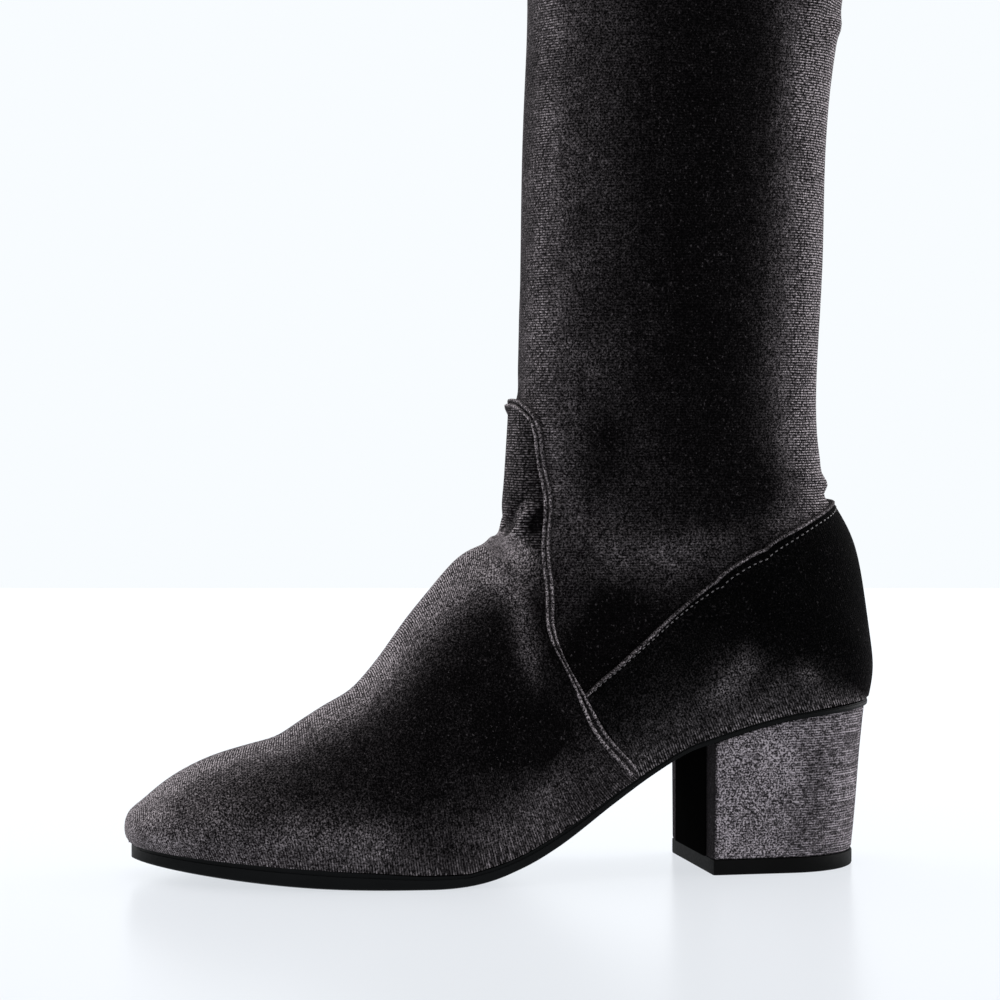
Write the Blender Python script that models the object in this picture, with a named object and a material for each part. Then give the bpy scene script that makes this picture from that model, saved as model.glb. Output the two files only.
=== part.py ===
"""Left thigh high boot in stretch velvet, with a covered block heel.

The toe points to -Y, the outer side to +X and the collar to +Z. The boot stands on its sole at z = 0,
with its length centred on y = 0 and the middle of the heel on x = 0.
"""
import math

import bmesh
import bpy
import numpy as np

for existing in list(bpy.data.objects):
    bpy.data.objects.remove(existing, do_unlink=True)

# Driving sizes in metres
LENGTH = 0.2538
BALL_WIDTH = 0.0825
TOE_SPRING = 0.0070
SEAT_HEIGHT = 0.0545
INSTEP_RISE = 0.0780
ANKLE_RISE = 0.1430
SHAFT_RISE = 0.4800
LEG_WIDTH = 0.1120
WALL = 0.0016
GAP = 0.0003

# Outsole
SOLE_THICKNESS = 0.0060
SOLE_CHAMFER = 0.0014
SOLE_STEP = 0.0006
SOLE_LEDGE_SHARE = 0.25
NARROW_SHARE = 0.25
FEATHER_INSET = 0.0015
FEATHER_GAP = 0.0005

# Insole
INSOLE_THICKNESS = 0.0030
INSOLE_CLEARANCE = 0.0011

# Panels laid over the upper
PANEL_THICKNESS = 0.0008
PANEL_GAP = 0.0006
COUNTER_LIFT = 0.0016
SEAM_HEIGHT = 0.0016
SEAM_WIDTH = 0.0026

# Heel
LIFT_HEIGHT = 0.0050
LIFT_OVERHANG = 0.0003
BREAST_COVER_WIDTH = 0.0370
BREAST_COVER_THICKNESS = 0.0008

# Collar
HEM_DEPTH = 0.0220
HEM_STEP = 0.0005

# Shares of the length, from the toe's tip
SOLE_START = 0.008
SOLE_END = 0.985
FLAT_START = 0.335
FLAT_END = 0.418
HEEL_FRONT = 0.749

# Plan of the sole: share of the sole's length, then centre and half width as shares of the ball width
PLAN_ROWS = (
    (0.00, -0.100, 0.420),
    (0.10, -0.080, 0.435),
    (0.20, -0.050, 0.465),
    (0.29, -0.024, 0.488),
    (0.35, -0.008, 0.492),
    (0.43, 0.014, 0.472),
    (0.51, 0.032, 0.425),
    (0.61, 0.038, 0.362),
    (0.69, 0.022, 0.340),
    (0.77, 0.006, 0.348),
    (0.86, 0.000, 0.362),
    (1.00, 0.000, 0.366),
)
TOE_ROUND = 0.255
HEEL_ROUND = 0.118

# Underside behind the ball: share of the length, share of the seat height
WAIST_ROWS = (
    (FLAT_END, 0.000),
    (0.469, 0.066),
    (0.533, 0.215),
    (0.614, 0.470),
    (0.668, 0.633),
    (0.718, 0.760),
    (HEEL_FRONT, 0.807),
    (0.808, 0.888),
    (0.863, 0.943),
    (1.000, 1.004),
)
TOE_SPRING_POWER = 2.1

# Outsole: share of the length, share of the sole thickness
THICKNESS_ROWS = (
    (0.00, 0.77),
    (0.10, 0.95),
    (0.20, 1.03),
    (0.29, 0.93),
    (0.37, 0.74),
    (0.45, 0.78),
    (0.52, 0.72),
    (0.60, 0.50),
    (0.67, 0.36),
    (0.72, 0.30),
    (1.00, 0.30),
)

# Upper over the foot. Each section runs from the feather edge to the ridge: share of the sole's length at
# the edge, ridge's share of the length, ridge's height above the edge as a share of the instep rise, how
# far the section stands out past the edge as a share of the ball width, where it is widest, its fullness,
# and the ridge's side shift as a share of the ball width
FOOT_ROWS = (
    (0.000, 0.0138, 0.000, 0.000, 0.40, 0.92, -0.100),
    (0.008, 0.0051, 0.036, 0.011, 0.38, 0.92, -0.100),
    (0.035, 0.0083, 0.116, 0.016, 0.36, 0.92, -0.098),
    (0.075, 0.0268, 0.182, 0.019, 0.34, 0.93, -0.095),
    (0.130, 0.0626, 0.287, 0.022, 0.33, 0.95, -0.091),
    (0.190, 0.1229, 0.394, 0.024, 0.32, 0.98, -0.086),
    (0.250, 0.1935, 0.479, 0.024, 0.31, 1.00, -0.080),
    (0.310, 0.2604, 0.615, 0.022, 0.30, 1.00, -0.073),
    (0.365, 0.3180, 0.765, 0.020, 0.30, 1.00, -0.067),
    (0.420, 0.3656, 0.968, 0.021, 0.31, 1.00, -0.060),
    (0.480, 0.4042, 1.073, 0.027, 0.33, 1.00, -0.050),
    (0.545, 0.4397, 1.102, 0.037, 0.34, 1.00, -0.037),
    (0.620, 0.4708, 1.009, 0.052, 0.35, 0.97, -0.024),
    (0.700, 0.4945, 0.907, 0.060, 0.35, 0.92, -0.012),
    (0.780, 0.4988, 0.886, 0.050, 0.34, 0.84, -0.004),
    (0.860, 0.4984, 0.886, 0.040, 0.33, 0.78, 0.000),
    (0.930, 0.5004, 0.935, 0.036, 0.32, 0.75, 0.000),
    (0.980, 0.5020, 0.998, 0.034, 0.32, 0.74, 0.000),
    (1.000, 0.5035, 1.070, 0.034, 0.33, 0.74, 0.000),
)

# Upper round the heel and ankle: rear's share of the length, rear's height above the seat, ridge's share of
# the length and its height, heights as shares of the ankle rise, then half width as a share of the leg
# width, where it is widest, and its fullness
ANKLE_ROWS = (
    (0.9835, 0.065, 0.5051, 0.621, 0.296, 0.34, 0.74),
    (0.9779, 0.156, 0.5063, 0.653, 0.297, 0.35, 0.74),
    (0.9665, 0.289, 0.5083, 0.681, 0.299, 0.37, 0.75),
    (0.9500, 0.387, 0.5142, 0.712, 0.304, 0.40, 0.78),
    (0.9255, 0.464, 0.5150, 0.758, 0.311, 0.43, 0.81),
    (0.9208, 0.513, 0.5154, 0.807, 0.317, 0.45, 0.84),
    (0.9137, 0.597, 0.5158, 0.855, 0.325, 0.47, 0.88),
    (0.9125, 0.758, 0.5165, 0.918, 0.335, 0.48, 0.92),
)

# Upper's level sections: height over the ankle as a share of the shaft rise, ridge's and rear's shares of
# the length, half width as a share of the leg width
SHAFT_ROWS = (
    (0.000, 0.5177, 0.9200, 0.345),
    (0.067, 0.5197, 0.9224, 0.357),
    (0.129, 0.5240, 0.9300, 0.371),
    (0.192, 0.5276, 0.9468, 0.386),
    (0.281, 0.5230, 0.9640, 0.406),
    (0.375, 0.5170, 0.9710, 0.424),
    (0.479, 0.5162, 0.9655, 0.421),
    (0.583, 0.5181, 0.9510, 0.411),
    (0.667, 0.5102, 0.9476, 0.413),
    (0.771, 0.4925, 0.9653, 0.438),
    (0.896, 0.4708, 0.9850, 0.473),
    (1.000, 0.4570, 0.9988, 0.500),
)
SHAFT_WIDEST = 0.49
SHAFT_FULLNESS = 0.95

# Rear edge of the vamp, from the sole up to the tongue's top: upper's row, degrees round from the ridge
VAMP_EDGE = (
    (12.45, 134.0),
    (12.38, 116.0),
    (12.20, 101.0),
    (12.17, 86.0),
    (12.14, 74.0),
    (12.30, 62.0),
    (12.70, 53.0),
    (13.50, 41.0),
    (14.80, 34.0),
    (16.50, 29.0),
    (18.40, 24.0),
    (20.20, 21.0),
    (20.90, 16.0),
    (21.22, 8.0),
    (21.30, 2.0),
)

# Upper edge of the counter, from the vamp back to the heel's back, by the same measures
COUNTER_EDGE = (
    (12.22, 87.0),
    (12.80, 84.0),
    (13.70, 82.0),
    (14.90, 79.0),
    (16.30, 75.0),
    (18.40, 77.0),
    (19.70, 84.0),
    (20.30, 90.0),
    (21.00, 105.0),
    (21.70, 122.0),
    (22.50, 146.0),
    (22.85, 164.0),
    (22.95, 180.0),
)

# Heel block: share of the seat height, rear's share of the length, half width as a share of the ball width
HEEL_ROWS = (
    (1.00, 0.9810, 0.350),
    (0.70, 0.9745, 0.343),
    (0.36, 0.9690, 0.337),
    (0.09, 0.9635, 0.333),
)

# How finely the solids are cut: angles and steps round the curves, and parts of a row
SIDE_STEPS = 12
HEEL_STEPS = 12
WAIST_STEPS = 20
COUNTER_STEPS = 20
EDGE_STEPS = 3
TOE_ANGLES = (7, 20, 34, 48, 62, 76)
HEEL_ANGLES = (18, 36, 52, 66, 77, 84)
BEFORE_HEEL = (1.0, 0.6, 0.3, 0.12, 0.03)
LEAN_STEP = 0.01
HEM_SLOPE = 0.01
WIDEST_EDGE = 0.999
SHARP_ANGLE = 35.0

# Rows where the seam and the counter start, and where all the panels end
WAIST_ROW = 11
LAST_PANEL_ROW = 25

# How far the panels' outlines run past the boot: sideways, then below, in front and behind as shares of
# the length
PAST_SIDE = 0.20
PAST_FLOOR = -0.1
PAST_TOE = -0.3
PAST_HEEL = 1.3

FOOT_END = len(FOOT_ROWS) - 1
LEVEL_START = len(FOOT_ROWS) + len(ANKLE_ROWS)
LAST_ROW = LEVEL_START + len(SHAFT_ROWS) - 1


def spline(places, values):
    """Natural cubic curve through the values, as a function of place."""
    x = np.array(places, float)
    y = np.array(values, float)
    steps = np.diff(x)
    slopes = np.diff(y) / steps
    count = len(x)
    system = np.eye(count)
    right = np.zeros(count)
    for i in range(1, count - 1):
        system[i, i - 1] = steps[i - 1]
        system[i, i] = 2.0 * (steps[i - 1] + steps[i])
        system[i, i + 1] = steps[i]
        right[i] = 6.0 * (slopes[i] - slopes[i - 1])
    bends = np.linalg.solve(system, right)

    def value(place):
        i = int(np.clip(np.searchsorted(x, place) - 1, 0, count - 2))
        step = steps[i]
        before = x[i + 1] - place
        after = place - x[i]
        curved = (bends[i] * before**3 + bends[i + 1] * after**3) / (6.0 * step)
        start = (y[i] / step - bends[i] * step / 6.0) * before
        end = (y[i + 1] / step - bends[i + 1] * step / 6.0) * after
        return float(curved + start + end)

    return value


def steady(places, values):
    """Smooth curve through the values that rises and falls only where they do."""
    x = np.array(places, float)
    y = np.array(values, float)
    slopes = np.diff(y) / np.diff(x)
    leans = np.zeros(len(x))
    leans[0] = slopes[0]
    leans[-1] = slopes[-1]
    for i in range(1, len(x) - 1):
        if slopes[i - 1] * slopes[i] > 0.0:
            leans[i] = 2.0 * slopes[i - 1] * slopes[i] / (slopes[i - 1] + slopes[i])

    def value(place):
        i = int(np.clip(np.searchsorted(x, place) - 1, 0, len(x) - 2))
        step = x[i + 1] - x[i]
        u = min(max((place - x[i]) / step, 0.0), 1.0)
        start = y[i] * (1.0 + 2.0 * u) * (1.0 - u) ** 2 + step * leans[i] * u * (1.0 - u) ** 2
        end = y[i + 1] * u * u * (3.0 - 2.0 * u) + step * leans[i + 1] * u * u * (u - 1.0)
        return float(start + end)

    return value


def column(rows, index):
    """One column of a table."""
    return [row[index] for row in rows]


def along(share):
    """Y of a share of the boot's length, from the toe's tip."""
    return (share - 0.5) * LENGTH


WAIST = steady(column(WAIST_ROWS, 0), column(WAIST_ROWS, 1))
THICKNESS = steady(column(THICKNESS_ROWS, 0), column(THICKNESS_ROWS, 1))
PLAN_CENTRE = spline(column(PLAN_ROWS, 0), column(PLAN_ROWS, 1))
PLAN_HALF = spline(column(PLAN_ROWS, 0), column(PLAN_ROWS, 2))


def tread_height(y):
    """Height of the outsole's underside: toe spring, a flat spot under the ball, then the arch."""
    share = y / LENGTH + 0.5
    if share <= FLAT_START:
        return TOE_SPRING * ((FLAT_START - share) / FLAT_START) ** TOE_SPRING_POWER
    if share <= FLAT_END:
        return 0.0
    return SEAT_HEIGHT * WAIST(share)


def sole_top(y):
    """Height of the outsole's upper face."""
    return tread_height(y) + SOLE_THICKNESS * THICKNESS(y / LENGTH + 0.5)


def plan_y(share, out=0.0):
    """Y of a share of the sole's length, with both ends moved out."""
    start = along(SOLE_START) - out
    end = along(SOLE_END) + out
    return start + share * (end - start)


def toe_round(share):
    """Share of the full width left by the rounded toe."""
    if share >= TOE_ROUND:
        return 1.0
    return math.sqrt(max(0.0, 1.0 - (1.0 - share / TOE_ROUND) ** 2))


def heel_round(share):
    """Share of the full width left by the rounded heel."""
    left = (1.0 - share) / HEEL_ROUND
    if left >= 1.0:
        return 1.0
    return math.sqrt(max(0.0, 1.0 - (1.0 - left) ** 2))


def plan_centre(share):
    """X of the middle of the sole."""
    return BALL_WIDTH * PLAN_CENTRE(share)


def plan_half(share, out=0.0):
    """Half width of the sole, with its edge moved out."""
    return (BALL_WIDTH * PLAN_HALF(share) + out) * toe_round(share) * heel_round(share)


SEAT_TOP = sole_top(along(SOLE_END)) + FEATHER_GAP
SEAT_HALF = BALL_WIDTH * PLAN_HALF(1.0)


def ridge_rows():
    """Y and height of the ridge at each row."""
    points = []
    for edge, ridge, rise, _, _, _, _ in FOOT_ROWS:
        base = sole_top(plan_y(edge, -FEATHER_INSET)) + FEATHER_GAP
        points.append((along(ridge), base + rise * INSTEP_RISE))
    for _, _, ridge, height, _, _, _ in ANKLE_ROWS:
        points.append((along(ridge), SEAT_TOP + height * ANKLE_RISE))
    for height, ridge, _, _ in SHAFT_ROWS:
        points.append((along(ridge), SEAT_TOP + ANKLE_RISE + height * SHAFT_RISE))
    return points


def rear_rows():
    """Y and height of the back line, from the end of the feather edge up."""
    points = [(plan_y(1.0, -FEATHER_INSET), SEAT_TOP)]
    for rear, height, _, _, _, _, _ in ANKLE_ROWS:
        points.append((along(rear), SEAT_TOP + height * ANKLE_RISE))
    for height, _, rear, _ in SHAFT_ROWS:
        points.append((along(rear), SEAT_TOP + ANKLE_RISE + height * SHAFT_RISE))
    return points


def swell_rows():
    """How far each row's widest place stands out past the sole's half width less the feather inset."""
    seat = SEAT_HALF - FEATHER_INSET
    foot = [row[3] * BALL_WIDTH for row in FOOT_ROWS]
    ankle = [row[4] * LEG_WIDTH - seat for row in ANKLE_ROWS]
    shaft = [row[3] * LEG_WIDTH - seat for row in SHAFT_ROWS]
    return foot + ankle + shaft


ROWS = list(range(LAST_ROW + 1))
REAR_ROWS = list(range(FOOT_END, LAST_ROW + 1))
RIDGE_Y = spline(ROWS, column(ridge_rows(), 0))
RIDGE_Z = spline(ROWS, column(ridge_rows(), 1))
REAR_Y = spline(REAR_ROWS, column(rear_rows(), 0))
REAR_Z = spline(REAR_ROWS, column(rear_rows(), 1))
EDGE = spline(range(FOOT_END + 1), column(FOOT_ROWS, 0))
SWELL = spline(ROWS, swell_rows())
WIDEST = spline(
    ROWS,
    column(FOOT_ROWS, 4) + column(ANKLE_ROWS, 5) + [SHAFT_WIDEST] * len(SHAFT_ROWS),
)
FULLNESS = spline(
    ROWS,
    column(FOOT_ROWS, 5) + column(ANKLE_ROWS, 6) + [SHAFT_FULLNESS] * len(SHAFT_ROWS),
)
RIDGE_X = spline(
    ROWS,
    column(FOOT_ROWS, 6) + [0.0] * (len(ANKLE_ROWS) + len(SHAFT_ROWS)),
)


def section(row, out):
    """The measures of one section of the upper, with its surface moved out."""
    edge = min(EDGE(row), 1.0) if row < FOOT_END else 1.0
    edge = max(edge, 0.0)
    inset = out - FEATHER_INSET
    if row <= FOOT_END:
        rear_y = plan_y(edge, inset)
        rear_z = sole_top(rear_y) + FEATHER_GAP
    else:
        rear_y = REAR_Y(row) + out
        rear_z = REAR_Z(row)
    half = (BALL_WIDTH * PLAN_HALF(edge) + inset) * toe_round(edge) + SWELL(row)
    foot = min(plan_half(edge, inset), WIDEST_EDGE * half)
    above = min(row + LEAN_STEP, LAST_ROW)
    below = max(row - LEAN_STEP, 0.0)
    lean_y = RIDGE_Y(above) - RIDGE_Y(below)
    lean_z = RIDGE_Z(above) - RIDGE_Z(below)
    size = math.hypot(lean_y, lean_z)
    front_y = RIDGE_Y(row) - out * lean_z / size
    front_z = RIDGE_Z(row) + out * lean_y / size
    fullness = FULLNESS(row)
    tuck = math.asin((foot / half) ** (1.0 / fullness)) if half > 0.0 else 0.0
    return {
        "rear": (plan_centre(edge), rear_y, rear_z),
        "front": (BALL_WIDTH * RIDGE_X(row), front_y, front_z),
        "half": half,
        "widest": WIDEST(row),
        "fullness": fullness,
        "end": math.pi - tuck,
    }


def section_point(shape, turn):
    """A point of a section, by its angle round from the ridge: positive on the outer side."""
    angle = abs(turn)
    if angle <= math.pi / 2.0:
        up = shape["widest"] + (1.0 - shape["widest"]) * math.cos(angle)
    else:
        up = shape["widest"] * (1.0 - math.cos(angle) / math.cos(shape["end"]))
    across = shape["half"] * math.sin(angle) ** shape["fullness"]
    side = math.copysign(across, turn)
    rear = shape["rear"]
    front = shape["front"]
    return (
        rear[0] + up * (front[0] - rear[0]) + side,
        rear[1] + up * (front[1] - rear[1]),
        rear[2] + up * (front[2] - rear[2]),
    )


def material(name, colour, roughness, sheen=0.0):
    """A plain surface in the part's own colour."""
    made = bpy.data.materials.new(name)
    made.use_nodes = True
    surface = made.node_tree.nodes["Principled BSDF"]
    surface.inputs["Base Color"].default_value = (*colour, 1.0)
    surface.inputs["Roughness"].default_value = roughness
    surface.inputs["Metallic"].default_value = 0.0
    surface.inputs["Sheen Weight"].default_value = sheen
    return made


def piece(name, shape, surface):
    """Turns a bmesh into a named object with its surface, faces outwards."""
    bmesh.ops.remove_doubles(shape, verts=shape.verts, dist=1e-7)
    bmesh.ops.recalc_face_normals(shape, faces=shape.faces)
    mesh = bpy.data.meshes.new(name)
    shape.to_mesh(mesh)
    shape.free()
    mesh.materials.append(surface)
    mesh.shade_smooth()
    mesh.set_sharp_from_angle(angle=math.radians(SHARP_ANGLE))
    made = bpy.data.objects.new(name, mesh)
    bpy.context.scene.collection.objects.link(made)
    return made


def skin_rows(shape, rows, out):
    """Rows of points of the upper's surface; a closed row holds its back seam once."""
    turns = [step / SIDE_STEPS for step in range(-SIDE_STEPS, SIDE_STEPS + 1)]
    grid = []
    for row in rows:
        measures = section(row, out(row))
        if row <= 0.0:
            pole = shape.verts.new(measures["rear"])
            grid.append([pole] * len(turns))
            continue
        angles = [turn * measures["end"] for turn in turns]
        points = [shape.verts.new(section_point(measures, angle)) for angle in angles[:-1]]
        if row < FOOT_END:
            points.append(shape.verts.new(section_point(measures, angles[-1])))
        else:
            points.append(points[0])
        grid.append(points)
    return grid


def face(shape, corners):
    """A face on the corners that differ, if it has at least three."""
    kept = list(dict.fromkeys(corners))
    if len(kept) > 2:
        shape.faces.new(kept)


def walled(rows, inner, outer):
    """The wall between two of the upper's surfaces, open at its top and first rows and underneath."""
    shape = bmesh.new()
    outside = skin_rows(shape, rows, outer)
    inside = skin_rows(shape, rows, inner)
    for skin, step in ((outside, 1), (inside, -1)):
        for low, high in zip(skin, skin[1:]):
            for j in range(2 * SIDE_STEPS):
                face(shape, (low[j], low[j + 1], high[j + 1])[::step])
                face(shape, (low[j], high[j + 1], high[j])[::step])
    for i, row in enumerate(rows[:-1]):
        if row >= FOOT_END:
            break
        for j in (0, -1):
            face(shape, (outside[i][j], outside[i + 1][j], inside[i + 1][j], inside[i][j]))
    for i in (0, -1):
        for j in range(2 * SIDE_STEPS):
            face(shape, (outside[i][j], outside[i][j + 1], inside[i][j + 1], inside[i][j]))
    return shape


def cut_rows(last):
    """The rows cut from the toe up, closer together round the toe, the waist and the heel."""
    rows = [0.0, 0.5]
    rows += [float(row) for row in range(1, WAIST_ROW)]
    rows += [WAIST_ROW + 0.5 * step for step in range(2 * (FOOT_END - 1 - WAIST_ROW))]
    rows += [FOOT_END - share for share in BEFORE_HEEL]
    rows += [float(row) for row in range(FOOT_END, last + 1)]
    return rows


def make_upper(surface):
    """The stretch velvet sock, from the feather edge to the collar, with its hem as a step."""
    last_step = REAR_Z(LAST_ROW) - REAR_Z(LAST_ROW - 1)
    hem = LAST_ROW - HEM_DEPTH / last_step
    rows = cut_rows(LAST_ROW - 1) + [hem - HEM_SLOPE, hem, float(LAST_ROW)]

    def outside(row):
        return HEM_STEP if row >= hem else 0.0

    shape = walled(rows, lambda row: -WALL, outside)
    return piece("upper", shape, surface)


def side_points(edge):
    """A seam's table as a smooth line in the side view."""
    rows = spline(range(len(edge)), column(edge, 0))
    turns = spline(range(len(edge)), column(edge, 1))
    line = []
    for step in range(EDGE_STEPS * (len(edge) - 1) + 1):
        place = step / EDGE_STEPS
        point = section_point(section(rows(place), 0.0), math.radians(turns(place)))
        line.append(np.array(point[1:]))
    return line


def shifted(line, distance):
    """The line moved sideways in its own plane, to the left of its direction."""
    moved = []
    for i, point in enumerate(line):
        heading = line[min(i + 1, len(line) - 1)] - line[max(i - 1, 0)]
        heading = heading / np.linalg.norm(heading)
        moved.append(point + distance * np.array((-heading[1], heading[0])))
    return moved


def under_top(line, top):
    """The line up to a height, then level past the toe."""
    kept = [point for point in line if point[1] < top]
    return kept + [np.array((kept[-1][0], top)), np.array((along(PAST_TOE), top))]


def region(name, outline):
    """A cutter through the whole width of the boot, with the outline in the side view."""
    shape = bmesh.new()
    near = [shape.verts.new((PAST_SIDE, *point)) for point in outline]
    far = [shape.verts.new((-PAST_SIDE, *point)) for point in outline]
    shape.faces.new(near)
    shape.faces.new(far[::-1])
    for i in range(len(outline)):
        after = (i + 1) % len(outline)
        shape.faces.new((near[i], far[i], far[after], near[after]))
    bmesh.ops.recalc_face_normals(shape, faces=shape.faces)
    mesh = bpy.data.meshes.new(name)
    shape.to_mesh(mesh)
    shape.free()
    cutter = bpy.data.objects.new(name, mesh)
    bpy.context.scene.collection.objects.link(cutter)
    cutter.hide_render = True
    cutter.display_type = "WIRE"
    return cutter


def keep_inside(panel, cutter):
    """Keeps only the part of the panel that the cutter covers."""
    cut = panel.modifiers.new("outline", "BOOLEAN")
    cut.operation = "INTERSECT"
    cut.solver = "EXACT"
    cut.object = cutter


def overlay(name, height, first_row, outline, surface):
    """A panel over the upper: the wall between two larger forms, cut to an outline."""
    rows = [row for row in cut_rows(LAST_PANEL_ROW) if row >= first_row]
    shape = walled(rows, lambda row: PANEL_GAP, lambda row: PANEL_GAP + height)
    panel = piece(name, shape, surface)
    keep_inside(panel, region(name + "_region", outline))
    return panel


def make_vamp(surface, seam_surface):
    """The front panel, and the turned seam that runs round its rear edge and the tongue's top."""
    edge = side_points(VAMP_EDGE)
    floor = PAST_FLOOR * LENGTH
    inner = under_top(shifted(edge, SEAM_WIDTH), edge[-1][1] - SEAM_WIDTH)
    seam_outline = [np.array((edge[0][0] + SEAM_WIDTH, floor))]
    seam_outline += under_top(edge, edge[-1][1]) + inner[::-1]
    seam_outline.append(np.array((inner[0][0], floor)))
    overlay("vamp_seam", SEAM_HEIGHT, WAIST_ROW, seam_outline, seam_surface)
    reach = SEAM_WIDTH + GAP
    clear = under_top(shifted(edge, reach), edge[-1][1] - reach)
    panel_outline = [np.array((clear[0][0], floor))] + clear + [np.array((clear[-1][0], floor))]
    overlay("vamp", PANEL_THICKNESS, 0, panel_outline, surface)


def make_counter(surface):
    """The panel round the heel, below its slanted seam and behind the vamp's."""
    edge = side_points(COUNTER_EDGE)
    front = shifted(side_points(VAMP_EDGE), -GAP)
    front = [point for point in front if point[1] < edge[0][1]]
    behind = along(PAST_HEEL)
    outline = front[1:] + edge
    outline.append(np.array((behind, edge[-1][1])))
    for step in range(COUNTER_STEPS + 1):
        y = behind + (front[1][0] - behind) * step / COUNTER_STEPS
        outline.append(np.array((y, sole_top(y) + FEATHER_GAP + COUNTER_LIFT)))
    overlay("counter", PANEL_THICKNESS, WAIST_ROW, outline, surface)


def plan_shares():
    """Places along the sole: close together round its ends, with the flat spot left whole."""
    toe = [TOE_ROUND * (1.0 - math.cos(math.radians(angle))) for angle in TOE_ANGLES]
    flat = [(FLAT_START - SOLE_START) / (SOLE_END - SOLE_START)]
    flat.append((FLAT_END - SOLE_START) / (SOLE_END - SOLE_START))
    rest = 1.0 - HEEL_ROUND - flat[1]
    waist = [flat[1] + rest * step / WAIST_STEPS for step in range(1, WAIST_STEPS + 1)]
    heel = [1.0 - HEEL_ROUND * (1.0 - math.sin(math.radians(angle))) for angle in HEEL_ANGLES]
    return toe + [TOE_ROUND] + flat + waist + heel


def lofted(sections):
    """A solid through closed sections, with both ends capped."""
    shape = bmesh.new()
    rings = [[shape.verts.new(point) for point in points] for points in sections]
    for low, high in zip(rings, rings[1:]):
        for i in range(len(low)):
            after = (i + 1) % len(low)
            shape.faces.new((low[i], low[after], high[after], high[i]))
    shape.faces.new(rings[0][::-1])
    shape.faces.new(rings[-1])
    return shape


def make_outsole(surface):
    """The rubber sole: chamfered tread edge, plain side and a small step under the upper."""
    sections = []
    for share in plan_shares():
        y = plan_y(share)
        centre = plan_centre(share)
        half = plan_half(share)
        low = tread_height(y)
        high = sole_top(y)
        chamfer = min(SOLE_CHAMFER, NARROW_SHARE * half, NARROW_SHARE * (high - low))
        step = min(SOLE_STEP, NARROW_SHARE * half)
        ledge = high - SOLE_LEDGE_SHARE * (high - low)
        side = (
            (half - chamfer, low),
            (half, low + chamfer),
            (half, ledge),
            (half - step, ledge),
            (half - step, high),
        )
        outer = [(centre + x, y, z) for x, z in side]
        inner = [(centre - x, y, z) for x, z in side]
        sections.append(outer + inner[::-1])
    return piece("outsole", lofted(sections), surface)


def make_insole(surface):
    """The footbed, inside the upper and on the outsole."""
    inset = FEATHER_INSET + WALL + INSOLE_CLEARANCE
    sections = []
    for share in plan_shares():
        y = plan_y(share, -inset)
        centre = plan_centre(share)
        half = plan_half(share, -inset)
        low = sole_top(y) + GAP
        high = low + INSOLE_THICKNESS
        corners = ((half, low), (half, high), (-half, high), (-half, low))
        sections.append([(centre + x, y, z) for x, z in corners])
    return piece("insole", lofted(sections), surface)


def heel_outline(rear, half):
    """The heel's plan: a straight front, straight sides and a round back."""
    front = along(HEEL_FRONT)
    middle = rear - half
    points = [(-half, front), (half, front)]
    for step in range(HEEL_STEPS + 1):
        angle = math.pi * step / HEEL_STEPS
        points.append((half * math.cos(angle), middle + half * math.sin(angle)))
    return points


def make_heel(velvet, rubber, cover):
    """The covered block, the smooth cover on its front and the rubber lift under it."""
    floor = LIFT_HEIGHT + GAP
    sections = []
    for height, rear, half in HEEL_ROWS[::-1]:
        low_row = HEEL_ROWS[-1][0]
        up = (height - low_row) / (1.0 - low_row)
        ring = []
        for x, y in heel_outline(along(rear), half * BALL_WIDTH):
            top = tread_height(y) - GAP
            ring.append((x, y, floor + up * (top - floor)))
        sections.append(ring)
    piece("heel_block", lofted(sections), velvet)

    _, rear, half = HEEL_ROWS[-1]
    outline = heel_outline(along(rear) + LIFT_OVERHANG, half * BALL_WIDTH + LIFT_OVERHANG)
    lift = [[(x, y, z) for x, y in outline] for z in (0.0, LIFT_HEIGHT)]
    piece("top_piece", lofted(lift), rubber)

    back = along(HEEL_FRONT) - GAP
    front = back - BREAST_COVER_THICKNESS
    reach = BREAST_COVER_WIDTH / 2.0
    sheet = []
    for x in (-reach, reach):
        sheet.append([
            (x, front, floor),
            (x, back, floor),
            (x, back, tread_height(back) - GAP),
            (x, front, tread_height(front) - GAP),
        ])
    piece("heel_breast_cover", lofted(sheet), cover)


VELVET = material("velvet", (0.030, 0.025, 0.028), 0.85, 0.6)
COUNTER_VELVET = material("counter_velvet", (0.016, 0.013, 0.015), 0.88, 0.5)
SEAM_VELVET = material("seam_velvet", (0.050, 0.043, 0.046), 0.85, 0.6)
HEEL_VELVET = material("heel_velvet", (0.060, 0.052, 0.056), 0.85, 0.6)
RUBBER = material("rubber", (0.010, 0.011, 0.011), 0.55)
COVER = material("heel_cover", (0.008, 0.008, 0.008), 0.40)
LINING = material("footbed", (0.060, 0.056, 0.052), 0.80)

make_outsole(RUBBER)
make_insole(LINING)
make_upper(VELVET)
make_vamp(VELVET, SEAM_VELVET)
make_counter(COUNTER_VELVET)
make_heel(HEEL_VELVET, RUBBER, COVER)
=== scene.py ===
"""Left thigh high boot in dark stretch velvet, with a velvet covered block heel."""
import math

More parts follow.
